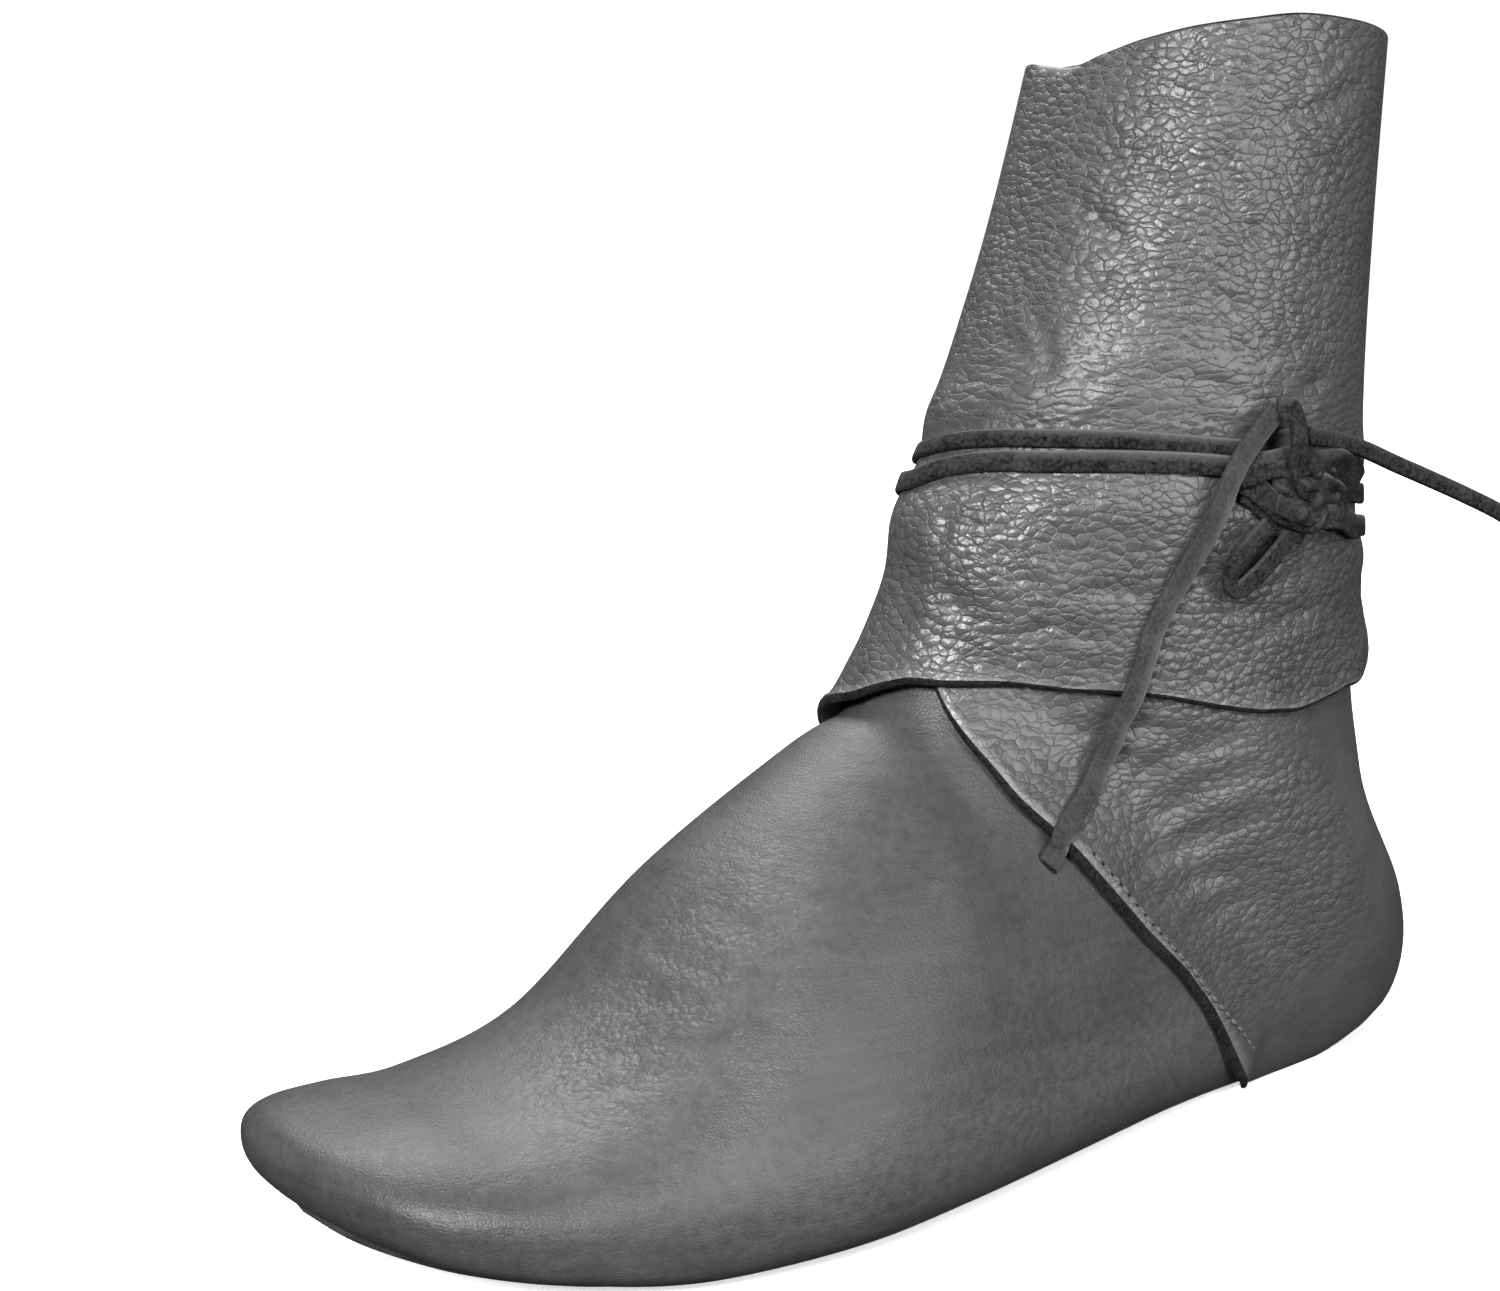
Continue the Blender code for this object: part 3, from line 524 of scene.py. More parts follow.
def finish_piece(name, points, faces, materials, indices=None, weld=False, marks=None):
    """A smooth-shaded object at the origin from points in the last's frame, with faces outward.

    marks give the strength of some finish at each point."""
    mesh = bpy.data.meshes.new(name)
    mesh.from_pydata(((np.asarray(points) + ORIGIN) * MM).tolist(), [], [list(map(int, f)) for f in faces])
    for material in materials:
        mesh.materials.append(material)
    if indices is not None:
        mesh.polygons.foreach_set("material_index", np.asarray(indices, np.int32))
    for label, values in (marks or {}).items():
        layer = mesh.attributes.new(label, "FLOAT", "POINT")
        layer.data.foreach_set("value", np.asarray(values, np.float32).ravel())
    work = bmesh.new()
    work.from_mesh(mesh)
    if weld:
        bmesh.ops.remove_doubles(work, verts=work.verts, dist=1e-7)
    bmesh.ops.recalc_face_normals(work, faces=work.faces)
    for face in work.faces:
        face.smooth = True
    work.to_mesh(mesh)
    work.free()
    return add_object(name, mesh)


CUT_TURNS = np.radians((25.0, 55.0, 90.0, 125.0, 155.0))    # steps of the rounded cut edge
CUT_BULGE = 0.55


def leather_sheet(name, outside, inside, materials, marks):
    """A leather from the points of its two faces, with a rounded cut edge all round.

    The materials are those of the outside, the cut edge and the inside."""
    rows, columns = outside.shape[:2]
    ring = [(i, 0) for i in range(rows)] + [(rows - 1, j) for j in range(1, columns)]
    ring += [(i, columns - 1) for i in range(rows - 2, -1, -1)]
    ring += [(0, j) for j in range(columns - 2, 0, -1)]
    ring = np.array(ring)
    over, under = outside[ring[:, 0], ring[:, 1]], inside[ring[:, 0], ring[:, 1]]
    middle, half = (over + under) / 2, np.linalg.norm(over - under, axis=1, keepdims=True) / 2
    up = (over - under) / (2 * half)
    way = np.roll(middle, -1, axis=0) - np.roll(middle, 1, axis=0)
    out = unit(np.cross(way, up))
    inward = ring.copy()
    inward[:, 0] = np.clip(inward[:, 0], 1, rows - 2)
    inward[:, 1] = np.clip(inward[:, 1], 1, columns - 2)
    out *= np.sign(((over - outside[inward[:, 0], inward[:, 1]]) * out).sum(axis=1, keepdims=True))
    rims = [middle + half * (up * np.cos(a) + out * CUT_BULGE * np.sin(a)) for a in CUT_TURNS]
    count, size = rows * columns, len(ring)
    corner = ring[:, 0] * columns + ring[:, 1]
    between = [2 * count + k * size + np.arange(size) for k in range(len(rims))]
    loops = [corner] + between + [count + corner]
    edge = [np.stack([a, np.roll(a, -1), np.roll(b, -1), b], -1) for a, b in zip(loops[:-1], loops[1:])]
    faces = [grid_faces(rows, columns), np.concatenate(edge), grid_faces(rows, columns, count)]
    points = np.concatenate([outside.reshape(-1, 3), inside.reshape(-1, 3)] + rims)
    indices = np.concatenate([np.full(len(f), k) for k, f in enumerate(faces)])

    def all_round(values):
        return np.concatenate([values.ravel()] * 2 + [values.ravel()[corner]] * len(rims))

    return finish_piece(name, points, np.concatenate(faces), materials, indices,
                        marks={label: all_round(values) for label, values in marks.items()})


def strip_frame(path, normals):
    """Directions across and up from a strip that lies on a surface with these normals."""
    way = unit(np.gradient(path, axis=0))
    side = unit(np.cross(way, normals))
    return side, np.cross(side, way)


def thong_strip(path, normals, wide, thick, round_off, bright=UPRIGHT):
    """A flat thong with rounded edges along a path: points, faces and the strength of a painted highlight,
    with some wear, along its bright edge.

    wide is a number, or one number for each point of the path."""
    side, up = strip_frame(path, normals)
    wide = np.broadcast_to(wide, len(path))[:, None]
    angles = np.linspace(0, 2 * np.pi, THONG_SIDES, endpoint=False)
    across = signed_power(np.cos(angles), round_off) / 2
    above = signed_power(np.sin(angles), THONG_FACE) / 2
    rings = (path[:, None] + side[:, None] * (across[None] * wide)[..., None]
             + up[:, None] * ((above + 0.5) * thick)[None, :, None])
    # painted highlight, with some wear, on the upper half of the edge toward the bright side
    edge = soft_step(2 * across[None] * (side @ np.array(bright))[:, None], 0.50, 0.85)
    highlight_and_wear = edge * (above[None] > -0.3)
    return rings.reshape(-1, 3), capped_tube(*rings.shape[:2]), highlight_and_wear.ravel()


def add_node(tree, kind, inputs=None, **settings):
    """A node with its settings, and values or links on its inputs."""
    made = tree.nodes.new(kind)
    for key, value in settings.items():
        setattr(made, key, value)
    for key, value in (inputs or {}).items():
        if isinstance(value, bpy.types.NodeSocket):
            tree.links.new(value, made.inputs[key])
        else:
            made.inputs[key].default_value = value
    return made


def start_material(name, colour, values):
    """A material with its preview colour, and fixed values on its shader."""
    material = bpy.data.materials.new(name)
    material.use_nodes = True
    material.diffuse_color = (*colour, 1.0)
    shader = material.node_tree.nodes["Principled BSDF"]
    for key, value in values.items():
        shader.inputs[key].default_value = value
    return material, material.node_tree, shader


def dress(tree, shader, colour, height, strength, depth, roughness=None):
    """Give a shader its colour and relief, and its roughness where that varies."""
    bump = add_node(tree, "ShaderNodeBump", {"Height": height, "Strength": strength, "Distance": depth})
    normal = bump.outputs["Normal"]
    for key, value in (("Base Color", colour), ("Normal", normal), ("Roughness", roughness)):
        if value is not None:
            tree.links.new(value, shader.inputs[key])


def sizes_in_mm(tree):
    """Object coordinates in millimetres."""
    return squeezed(tree, add_node(tree, "ShaderNodeTexCoord").outputs["Object"], 1.0 / MM, 1.0 / MM)


def squeezed(tree, place, across, upward):
    """Places squeezed level and upright, to draw a pattern out."""
    scale = (across, across, upward)
    return add_node(tree, "ShaderNodeMapping", {"Vector": place, "Scale": scale}).outputs["Vector"]


def warped(tree, place, *rounds):
    """Places pushed about by soft noises of (size, amount), so that a pattern isn't regular."""
    for size, amount in rounds:
        noise = add_node(tree, "ShaderNodeTexNoise", {"Vector": place, "Scale": 1.0 / size, "Detail": 2.0})
        middle = add_node(tree, "ShaderNodeVectorMath", {0: noise.outputs["Color"], 1: (0.5, 0.5, 0.5)},
                          operation="SUBTRACT")
        push = add_node(tree, "ShaderNodeVectorMath", {0: middle.outputs[0], "Scale": amount},
                        operation="SCALE")
        place = add_node(tree, "ShaderNodeVectorMath", {0: place, 1: push.outputs[0]}).outputs[0]
    return place


def cells(tree, place, size, **settings):
    inputs = {"Vector": place, "Scale": 1.0 / size}
    return add_node(tree, "ShaderNodeTexVoronoi", inputs, **settings).outputs


def cell_walls(tree, place, size):
    """Distance from the walls between pebbles, as a part of their size."""
    return cells(tree, place, size, feature="DISTANCE_TO_EDGE")["Distance"]


def cell_domes(tree, place, size):
    """Rounded tops of the pebbles, and a shade of each pebble's own."""
    made = cells(tree, place, size)
    return fit(tree, made["Distance"], 0.0, 0.9, 1.0, 0.0), made["Color"]


def rise(tree, value, end):
    """A soft rise from 0 at nothing to 1 at the end."""
    return fit(tree, value, 0.0, end, interpolation_type="SMOOTHSTEP")


def cloud(tree, place, size, detail=3.0):
    return add_node(tree, "ShaderNodeTexNoise",
                    {"Vector": place, "Scale": 1.0 / size, "Detail": detail}).outputs["Fac"]


def mark(tree, name):
    """Strength of a finish that the piece carries at each point."""
    return add_node(tree, "ShaderNodeAttribute", attribute_name=name).outputs["Fac"]


def combine(tree, first, second, operation="MULTIPLY"):
    """The product of two values, or what another operation makes of them."""
    return add_node(tree, "ShaderNodeMath", {0: first, 1: second}, operation=operation).outputs[0]


def weighted(tree, *pairs):
    """The sum of values, each times its weight."""
    total = None
    for value, weight in pairs:
        part = combine(tree, value, weight)
        total = part if total is None else combine(tree, total, part, "ADD")
    return total


def fit(tree, value, low, high, to_low=0.0, to_high=1.0, **settings):
    """A value carried from one range to another, and held at its ends."""
    return add_node(tree, "ShaderNodeMapRange", {"Value": value, "From Min": low, "From Max": high,
                                                 "To Min": to_low, "To Max": to_high},
                    **settings).outputs["Result"]


def blend(tree, part, first, second):
    """From the first value to the second."""
    return fit(tree, part, 0.0, 1.0, first, second)


MIX_PART, MIX_FIRST, MIX_SECOND, MIX_RESULT = 0, 6, 7, 2     # the mix node's sockets for colours


def mix_colour(tree, part, first, second):
    """From the first colour to the second."""
    colours = [(*colour, 1.0) if isinstance(colour, tuple) else colour for colour in (first, second)]
    return add_node(tree, "ShaderNodeMix", {MIX_PART: part, MIX_FIRST: colours[0], MIX_SECOND: colours[1]},
                    data_type="RGBA").outputs[MIX_RESULT]


PEBBLE, LONG_PEBBLE, SMALL_PEBBLE = 1.95, 2.2, 1.15          # sizes in mm
PEBBLE_DARK, PEBBLE_LIGHT = (0.060, 0.059, 0.057), (0.098, 0.096, 0.093)
# colour of the painted shade in the creases, and of the painted edge highlight and fraying
CREASE_SHADE, HIGHLIGHT_AND_WEAR_LIGHT = (0.014, 0.014, 0.013), (0.26, 0.255, 0.247)


def pebbled_leather():
    """Grey milled leather: soft pebbles a little wider than tall, with painted shade darkening the creases
    between them.
    """
    material, tree, shader = start_material("pebbled grey leather", (0.13, 0.128, 0.125),
                                            {"Roughness": 0.40, "Specular IOR Level": 0.75})
    flat = sizes_in_mm(tree)
    place = warped(tree, flat, (13.0, 4.0), (2.4, 1.3), (0.9, 0.4))
    gather, calm = mark(tree, "gathered"), mark(tree, "calm")
    round_place, long_place = squeezed(tree, place, 0.66, 1.04), squeezed(tree, place, 0.38, 1.20)
    round_top, round_shade = cell_domes(tree, round_place, PEBBLE)
    long_top, long_shade = cell_domes(tree, long_place, LONG_PEBBLE)
    top = blend(tree, gather, round_top, long_top)
    own = blend(tree, gather, round_shade, long_shade)
    walls = blend(tree, gather, cell_walls(tree, round_place, PEBBLE),
                  cell_walls(tree, long_place, LONG_PEBBLE))
    crack = rise(tree, walls, 0.09)
    small = rise(tree, cell_walls(tree, place, SMALL_PEBBLE), 0.34)
    fine, patch = cloud(tree, flat, 0.35, 4.0), cloud(tree, flat, 9.0)
    folded = cloud(tree, squeezed(tree, place, 0.45, 1.3), 5.0)
    strong = combine(tree, blend(tree, calm, 1.0, 0.12), fit(tree, patch, 0.35, 0.65, 1.15, 0.80))
    height = weighted(tree, (top, 0.95), (crack, 0.16), (small, 0.06), (folded, 1.1))
    height = weighted(tree, (height, strong), (fine, 0.07))
    # the painted shade in the creases comes and goes, and is weak where the leather is calm
    crack = blend(tree, fit(tree, cloud(tree, place, 3.0), 0.38, 0.60, 0.15, 1.0), 1.0, crack)
    shade = combine(tree, crack, blend(tree, small, 0.85, 1.0))
    shade = blend(tree, fit(tree, strong, 0.12, 1.0, 0.85, 0.0), shade, 1.0)
    # painted shade darkens the leg's front
    shade = combine(tree, shade, blend(tree, mark(tree, "painted_shade"), 1.0, 0.55))
    tone = weighted(tree, (cloud(tree, flat, 24.0), 0.6), (own, 0.15), (patch, 0.25))
    tone = mix_colour(tree, fit(tree, tone, 0.3, 0.7), PEBBLE_DARK, PEBBLE_LIGHT)
    # painted shade: the creases darken toward the crease colour
    colour = mix_colour(tree, blend(tree, shade, 0.25, 1.0), CREASE_SHADE, tone)
    # painted highlight along the lower cut edges, and the real pale of the frayed top corner
    colour = mix_colour(tree, blend(tree, mark(tree, "highlight_and_wear"), 0.0, 0.75), colour, HIGHLIGHT_AND_WEAR_LIGHT)
    dress(tree, shader, colour, height, 0.85, 0.0005, blend(tree, shade, 0.62, 0.36))
    return material


VAMP_DARK, VAMP_LIGHT = (0.042, 0.041, 0.040), (0.072, 0.070, 0.068)
# lighter tones: painted sheen on the crackled ridge, and painted bounce light low on the sides
VAMP_CRACKLE_SHEEN, VAMP_BOUNCE_LIGHT = (0.135, 0.132, 0.128), (0.120, 0.117, 0.114)
# colour of the painted shade in the vamp's creases
VAMP_CREASE_SHADE = (0.040, 0.039, 0.038)


def smooth_leather():
    """Grey leather with a fine grain, mottled and faintly streaked, crackled where it bends."""
    material, tree, shader = start_material("smooth grey leather", (0.16, 0.157, 0.153),
                                            {"Roughness": 0.48})
    flat = sizes_in_mm(tree)
    place = warped(tree, flat, (6.0, 2.0))
    small = rise(tree, cell_walls(tree, place, 0.9), 0.30)
    fine, mottle, patch = cloud(tree, place, 0.45), cloud(tree, place, 2.2, 6.0), cloud(tree, flat, 18.0)
    streak = cloud(tree, warped(tree, squeezed(tree, flat, 0.30, 2.2), (12.0, 6.0)), 4.0, 5.0)
    bent = warped(tree, squeezed(tree, flat, 0.9, 1.2), (7.0, 4.0), (1.6, 1.0))
    crackle_and_sheen = combine(tree, mark(tree, "wrinkled"), fit(tree, cloud(tree, place, 5.0), 0.35, 0.58, 0.3, 1.0))
    crackle, own = cell_domes(tree, bent, 1.6)
    folds = blend(tree, crackle_and_sheen, 1.0, combine(tree, crackle, fit(tree, own, 0.2, 0.8, 0.7, 1.1)))
    height = weighted(tree, (small, 0.16), (fine, 0.24), (streak, 0.6), (mottle, 0.35), (folds, 1.5))
    tone = weighted(tree, (patch, 0.40), (mottle, 0.30), (streak, 0.30))
    tone = mix_colour(tree, fit(tree, tone, 0.38, 0.62), VAMP_DARK, VAMP_LIGHT)
    # painted sheen, with some wear, where the bent ridge is crackled
    tone = mix_colour(tree, blend(tree, crackle_and_sheen, 0.0, 0.6), tone, VAMP_CRACKLE_SHEEN)
    # painted bounce light: a patchy lighter band low on the sides
    bounce_light = combine(tree, mark(tree, "bounce_light_band"), fit(tree, mottle, 0.35, 0.65, 0.5, 1.0))
    tone = mix_colour(tree, bounce_light, tone, VAMP_BOUNCE_LIGHT)
    # painted shade in the grain lines and the crackle's creases
    shade = combine(tree, blend(tree, small, 0.80, 1.0), fit(tree, folds, 0.25, 0.7, 0.50, 1.0))
    colour = mix_colour(tree, shade, VAMP_CREASE_SHADE, tone)
    dress(tree, shader, colour, height, 0.55, 0.0004, fit(tree, mottle, 0.3, 0.7, 0.42, 0.52))
    return material


def fibrous(name, dark, light, size, strength, highlight_and_wear=None, lightening_mark="highlight_and_wear"):
    """Rough leather fibres: cut edges, the flesh side and the suede thong; a mark lightens them with
    painted highlight and wear.
    """
    material, tree, shader = start_material(name, light, {"Roughness": 0.92, "Specular IOR Level": 0.12,
                                                          "Sheen Weight": 0.03, "Sheen Roughness": 0.5})
    place = warped(tree, sizes_in_mm(tree), (3.0, 1.5))
    fibre, patch = cloud(tree, place, size, 6.0), cloud(tree, place, size * 6.0)
    both = weighted(tree, (fibre, 0.65), (patch, 0.35))
    colour = mix_colour(tree, fit(tree, both, 0.38, 0.62), dark, light)
    # lighter by the named mark: on the thongs painted highlight and wear, on the cut edge its fraying
    if highlight_and_wear is not None:
        colour = mix_colour(tree, mark(tree, lightening_mark), colour, highlight_and_wear)
    dress(tree, shader, colour, fibre, strength, 0.0004)
    return material


def sole_leather():
    """Dark firm sole leather with rubbed patches."""
    material, tree, shader = start_material("dark sole leather", (0.05, 0.048, 0.046), {"Roughness": 0.7})
    place = warped(tree, sizes_in_mm(tree), (12.0, 5.0))
    patch, grain = cloud(tree, place, 14.0, 5.0), cloud(tree, place, 0.7, 4.0)
    colour = mix_colour(tree, fit(tree, patch, 0.4, 0.68), (0.030, 0.029, 0.028), (0.085, 0.081, 0.077))
    dress(tree, shader, colour, grain, 0.4, 0.0003, fit(tree, patch, 0.3, 0.7, 0.82, 0.62))
    return material


LEG_LEATHER = pebbled_leather()
VAMP_LEATHER = smooth_leather()
CUT_EDGE = fibrous("cut leather edge", (0.003, 0.003, 0.003), (0.026, 0.026, 0.025), 0.75, 1.0,
                   (0.34, 0.335, 0.327), "frayed")
FLESH_SIDE = fibrous("flesh side of the leather", (0.10, 0.097, 0.092), (0.17, 0.166, 0.16), 0.8, 0.4)
# the thongs' light colours are their painted highlight, with some wear, on the bright edges
THONG_SUEDE = fibrous("dark suede thong", (0.003, 0.003, 0.003), (0.040, 0.039, 0.038), 0.9, 1.0,
                      (0.12, 0.118, 0.115))
STRAND_LEATHER = fibrous("worn thong leather", (0.034, 0.033, 0.032), (0.062, 0.061, 0.060), 0.9, 0.4,
                         (0.17, 0.167, 0.163))
SOLE_LEATHER = sole_leather()
THREAD = fibrous("waxed thread", (0.09, 0.088, 0.085), (0.19, 0.187, 0.182), 0.5, 0.4)
# painted shade: dark beads and a dark plug for the shadow inside the awl holes and the slit
AWL_HOLE_SHADE = fibrous("shadowed awl hole", (0.010, 0.010, 0.010), (0.022, 0.022, 0.021), 0.3, 0.3)


def turned_to(right, up, back, spot):
    """Where a camera or light with these directions stands."""
    return Matrix([[*row, p] for row, p in zip(np.stack([right, up, back], 1), spot)] + [[0, 0, 0, 1]])


def place_camera():
    """The photograph's view."""
    az, el, roll = np.radians((CAMERA_AZIMUTH, CAMERA_ELEVATION, CAMERA_ROLL))
    back = np.array((np.sin(az) * np.cos(el), -np.cos(az) * np.cos(el), np.sin(el)))
    right = unit(np.cross(-back, UPRIGHT))
    up = np.cross(back, right)
    right, up = right * np.cos(roll) + up * np.sin(roll), up * np.cos(roll) - right * np.sin(roll)
    data = bpy.data.cameras.new("photo camera")
    data.lens, data.sensor_width, data.clip_start = CAMERA_LENS, CAMERA_SENSOR, CAMERA_NEAR
    camera = add_object("photo camera", data)
    camera.matrix_world = turned_to(right, up, back, (CAMERA_TARGET + back * CAMERA_DISTANCE + ORIGIN) * MM)
    bpy.context.scene.camera = camera
    return right, up, back


def area_light(name, spot, aim, size, watts):
    """A soft square light at a spot in metres, turned to an aim."""
    data = bpy.data.lights.new(name, "AREA")
    data.size, data.energy = size, watts
    away = unit(spot - aim)
    side = unit(np.cross(UPRIGHT, away))
    add_object(name, data).matrix_world = turned_to(side, np.cross(away, side), away, spot)


def make_stage(right, up, back):
    """A pale floor, a white surround and soft lights."""
    white = (1.0, 1.0, 1.0, 1.0)
    mesh = bpy.data.meshes.new("floor")
    corners = [(x * FLOOR_HALF, y * FLOOR_HALF, 0.0) for x, y in ((-1, -1), (1, -1), (1, 1), (-1, 1))]
    mesh.from_pydata(corners, [], [(0, 1, 2, 3)])
    floor = add_object("floor", mesh)
    pale, tree, shader = start_material("pale floor", (0.8, 0.8, 0.8), {
        "Base Color": (0.93, 0.93, 0.93, 1.0), "Roughness": 0.9, "Specular IOR Level": 0.0,
        "Emission Color": white})
    away = add_node(tree, "ShaderNodeVectorMath", {0: sizes_in_mm(tree)}, operation="LENGTH")
    glow = fit(tree, away.outputs["Value"], *GLOW_REACH, FLOOR_GLOW, 1.0)
    tree.links.new(glow, shader.inputs["Emission Strength"])
    mesh.materials.append(pale)
    floor.visible_diffuse = False
    floor.visible_glossy = False
    world = bpy.data.worlds.new("studio")
    bpy.context.scene.world = world
    world.use_nodes = True
    tree = world.node_tree
    way = add_node(tree, "ShaderNodeTexCoord").outputs["Generated"]
    height = add_node(tree, "ShaderNodeSeparateXYZ", {0: way}).outputs["Z"]
    ambient = tree.nodes["Background"]
    ambient.inputs["Color"].default_value = white
    tree.links.new(fit(tree, height, *HORIZON, SKY_BELOW, SKY_ABOVE), ambient.inputs["Strength"])
    backdrop = add_node(tree, "ShaderNodeBackground", {"Color": white, "Strength": SEEN_WHITE})
    seen = add_node(tree, "ShaderNodeLightPath").outputs["Is Camera Ray"]
    both = add_node(tree, "ShaderNodeMixShader", {0: seen, 1: ambient.outputs[0], 2: backdrop.outputs[0]})
    tree.links.new(both.outputs[0], tree.nodes["World Output"].inputs["Surface"])
    for name, along, above, behind, size, watts in LIGHT_ROWS:
        area_light(name, LIGHT_AIM + along * right + above * up + behind * back, LIGHT_AIM, size, watts)
    bpy.context.scene.view_settings.view_transform = "Standard"
    bpy.context.scene.view_settings.look = "None"


def inside_outline(plan, outline):
    """Which points of a plan lie within a closed outline."""
    x, y = plan[:, None, 0], plan[:, None, 1]
    ax, ay = outline[None, :, 0], outline[None, :, 1]
    bx, by = np.roll(ax, -1, axis=1), np.roll(ay, -1, axis=1)
    cross = ((ay > y) != (by > y)) & (x < (bx - ax) * (y - ay) / (by - ay + 1e-12) + ax)
    return cross.sum(axis=1) % 2 == 1


def crossing_place(turns, lift):
    """Place where the leg leather's surface leaves the sole's outline, at turns round the heel."""
    outline = sole_outline(SOLE_CLEAR, OUTLINE_POINTS)
    places = np.linspace(9.4, 13.0, 241)
    found = np.zeros(len(turns))
    for k, t in enumerate(turns):
        inside = inside_outline(skin(places, t, lift)[:, :2], outline)
        if inside.any():
            found[k] = places[np.nonzero(inside)[0][-1]] + (places[1] - places[0])
    return found


HEEL_TURN = 100.0        # the leg leather may meet the sole within this turn of the back
EDGE_CROWD = 0.058       # how much closer the leg's points stand at both edges
HIDDEN_STRIP = 0.02      # part of a row into which leather that would lie on the sole is gathered
FLAP_STARTS = (140.0, 165.0)        # turns over which the sheet becomes the flap
SEAM_STARTS = (50.0, 70.0)          # turns from the back over which the seams' raised lip and its painted highlight begin
LIP, LIP_AWAY, LIP_REACH = 0.30, 1.6, 1.1       # its lift, its distance from the edge and its reach
SETTLE_ENDS = (52.0, 90.0)          # turns from the back over which the edge no longer settles
LIFT_STARTS, EDGE_LIFT = (38.0, 62.0), 4.5      # and over which it keeps higher above the floor
# where the top edge is frayed and where painted shade darkens the front: turn and half width
FRAY_TURN, FRAY_HALF, SHADE_TURN, SHADE_HALF = -174.0, 12.0, -196.0, 22.0


def make_leg():
    """Quarter, shaft and flap: one pebbled sheet wound round the leg."""
    turns = np.linspace(*WRAP["turn"][[0, -1]], LEG_GRID[0])
    low, top, layer = (table_at(WRAP, turns, name) for name in ("low", "top", "layer"))
    bevel = table_at(BEVEL, turns, "bevel")
    heel = np.abs(turns) < HEEL_TURN
    cut = np.zeros(len(turns))
    cut[heel] = crossing_place(turns[heel], GAP + LEATHER / 2)
    # even steps of length up each line of the sheet, closer at both edges
    steps = np.linspace(0, 1, LEG_GRID[1])
    steps = steps - EDGE_CROWD * np.sin(2 * np.pi * steps)
    place, under, away = np.zeros((3, len(turns), len(steps)))
    for k, t in enumerate(turns):
        fine = np.linspace(low[k], top[k], 240)
        run = run_along(last_point(fine, t))
        away[k] = steps * (run[-1] - bevel[k])
        place[k] = np.interp(bevel[k] + away[k], run, fine)
        under[k] = np.interp(steps * run[-1], run, fine)
        # what would lie on the sole is gathered in a narrow strip at its outline
        for line in (place[k], under[k]):
            hidden = line < cut[k]
            line[hidden] = cut[k] - HIDDEN_STRIP * (cut[k] - line[hidden]) / max(cut[k] - low[k], 1e-6)
    turn = np.broadcast_to(turns[:, None], place.shape)
    lift = np.broadcast_to(layer_lift(layer)[:, None], place.shape)
    body = last_point(place, turn)
    height = body[..., 2]
    form = swelling(turn, height) - waist_pinch(turn, height)
    flap = soft_step(-turn, *FLAP_STARTS)
    seam = soft_step(np.abs(turn), *SEAM_STARTS)
    relief = crease_relief(body, LEG_CREASES) * flap + crease_relief(body, QUARTER_CREASES) * (1 - flap)
    lip = LIP * hump(away, LIP_AWAY, LIP_REACH) * seam
    outside = skin(place, turn, lift + LEATHER + form + LEG_CREASE_GAIN * relief + lip)
    inside = skin(under, turn, lift + form)
    # the height of the lower edge beside each point, read along the boot so that it changes smoothly
    edge = np.zeros(place.shape)
    for side in (turns >= 0, turns < 0):
        foot = outside[side & heel, 0]
        foot = foot[np.argsort(foot[:, 1])]
        edge[side] = np.interp(outside[side][..., 1], foot[:, 1], foot[:, 2])
    weight = 1 - soft_step(np.abs(turn), *SETTLE_ENDS)
    clear = FLOOR_CLEAR + EDGE_LIFT * soft_step(np.abs(turn), *LIFT_STARTS)
    outside, inside = settled(outside, edge, weight, clear), settled(inside, edge + LEATHER, weight, clear)
    above = height - waist_height(turn)
    from_top = away.max(axis=1, keepdims=True) - away
    frayed = hump(from_top, 0.0, 1.2) * soft_step(FRAY_HALF - np.abs(turn - FRAY_TURN), 0, 5)
    heel_calm = soft_step(HEEL_TURN - np.abs(turn), 0.0, 38.0) * soft_step(125.0 - height, 0.0, 40.0)
    marks = {
        # painted highlight along the lower cut edges, and the frayed top corner's pale wear
        "highlight_and_wear": np.maximum(0.7 * hump(away, 0.0, 1.3) * seam, frayed),
        "frayed": frayed,
        # painted shade on the leg's front, above the windings
        "painted_shade": hump(turn, SHADE_TURN, SHADE_HALF) * soft_step(above, -10.0, 10.0),
        "gathered": flap * hump(above, 14.0, 8.0),
        "calm": np.maximum(heel_calm, 0.4 * (1 - flap) * soft_step(150.0 - height, 0.0, 30.0)),
    }
    return leather_sheet("leg_leather", outside, inside, (LEG_LEATHER, CUT_EDGE, FLESH_SIDE), marks)


VAMP_GUIDE = 110.0       # turn of the line along which the vamp's rows are spaced evenly
VAMP_TIP = 0.03          # place of its first row, just behind the tip
FIRST_SETTLED = (5.0, 6.4)          # places over which its lower edge begins to settle
BOUNCE_BAND, BOUNCE_BAND_HEIGHT, BOUNCE_BAND_REACH = 0.75, 22.0, 9.0      # painted bounce light: a lighter band along its sides
